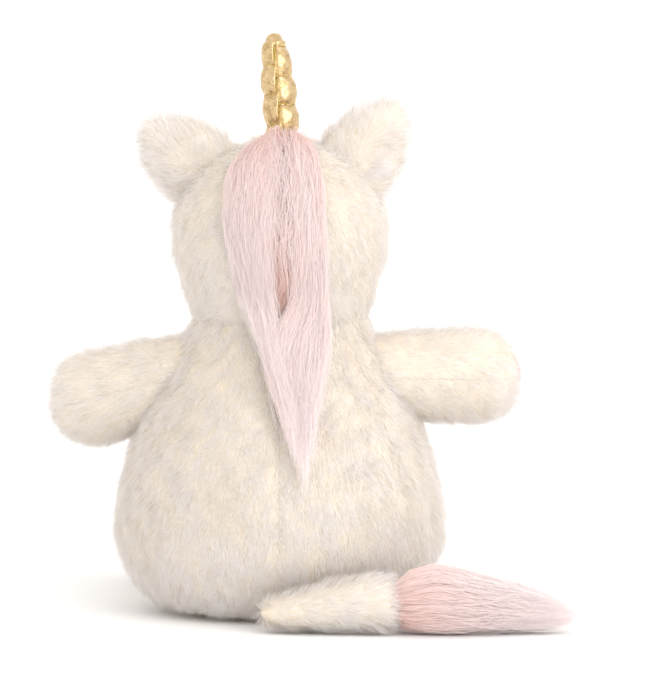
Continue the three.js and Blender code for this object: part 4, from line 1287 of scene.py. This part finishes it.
def stitch(node, angles, radius):
    """Satin stitch on the muzzle: short threads laid side by side across a line."""
    across, up = np.radians(np.array(angles)).T
    way = np.stack([np.sin(across) * np.cos(up), -np.cos(across) * np.cos(up), np.sin(up)], 1)
    line = MUZZLE + way * (MUZZLE_SIZE + 0.0011)
    fine = spline(line, len(line) * 3)
    out = unit(fine - MUZZLE)
    along = unit(np.gradient(fine, axis=0))
    over = unit(np.cross(along, out))
    pieces = []
    for point, o, s, a in zip(fine, out, over, along):
        turn = np.linspace(-0.2, math.pi + 0.2, 7)
        arc = point + radius * (np.cos(turn)[:, None] * (s + 0.25 * a) + np.sin(turn)[:, None] * o)
        pieces.append(tube(arc, 0.00021, 5))
    pieces.append(tube(fine, radius * 0.8, 8))
    threads(node + "_thread", pieces, "face_thread", "face_thread", "head", node)


# ------------------------------------------------------------------ stage
def stage():
    material, tree, shader = nodes_of("pale_paper")
    paper = ramp(tree, noise(tree, 3, 2), greys((0.3, 0.93), (0.7, 0.95)))
    tree.links.new(paper, shader.inputs["Base Color"])
    adjust(shader, Roughness=0.9)
    half = 40.0  # to the edge of the floor, which is far out of the picture
    corners = np.array([(-half, -half, 0), (half, -half, 0), (half, half, 0), (-half, half, 0)]) - [0, 0, 0.0003]
    new_object("floor", corners, [(0, 1, 2), (0, 2, 3)], material)


def put(name, data, place, direction):
    """A light or a camera at a place, that looks along a direction."""
    made = bpy.data.objects.new(name, data)
    bpy.context.scene.collection.objects.link(made)
    made.location = place
    made.rotation_mode = "QUATERNION"
    made.rotation_quaternion = Vector(direction).to_track_quat("-Z", "Y")
    return made


def studio():
    world = bpy.data.worlds.new("studio")
    world.use_nodes = True
    background = world.node_tree.nodes["Background"]
    adjust(background, Color=(1.0, 0.985, 0.97, 1), Strength=1.2)
    scene = bpy.context.scene
    scene.world = world
    scene.view_settings.view_transform = "Standard"
    # The key is a broad light from the right of the camera, high up.
    key = bpy.data.lights.new("key", "SUN")
    key.energy = 0.95
    key.angle = math.radians(50)
    key.color = (1.0, 0.98, 0.975)
    put("key", key, (0, 0, 0), (0.55, -1.0, -0.65))
    glint = bpy.data.lights.new("glint", "AREA")
    glint.shape = "RECTANGLE"
    glint.size, glint.size_y = 0.5, 1.2
    glint.energy = 3.0
    put("glint", glint, (-1.0, 1.3, 0.6), (1.0, -1.3, -0.4))
    # The camera stands far off, a little above the toy, with a long lens.
    elevation = math.radians(6)
    sensor, view_height, target = 36, 0.4139, Vector((-0.0316, 0, 0.162))
    camera = bpy.data.cameras.new("camera")
    camera.lens = 400
    back = Vector((0, math.cos(elevation), math.sin(elevation)))
    scene.camera = put("camera", camera, target + back * (view_height * camera.lens / sensor), -back)


studio()
stage()
torso()
head()
muzzle()
limbs()
ear("ear_left", 50)
ear("ear_right", 52)
mane()
tail()
horn()
face()
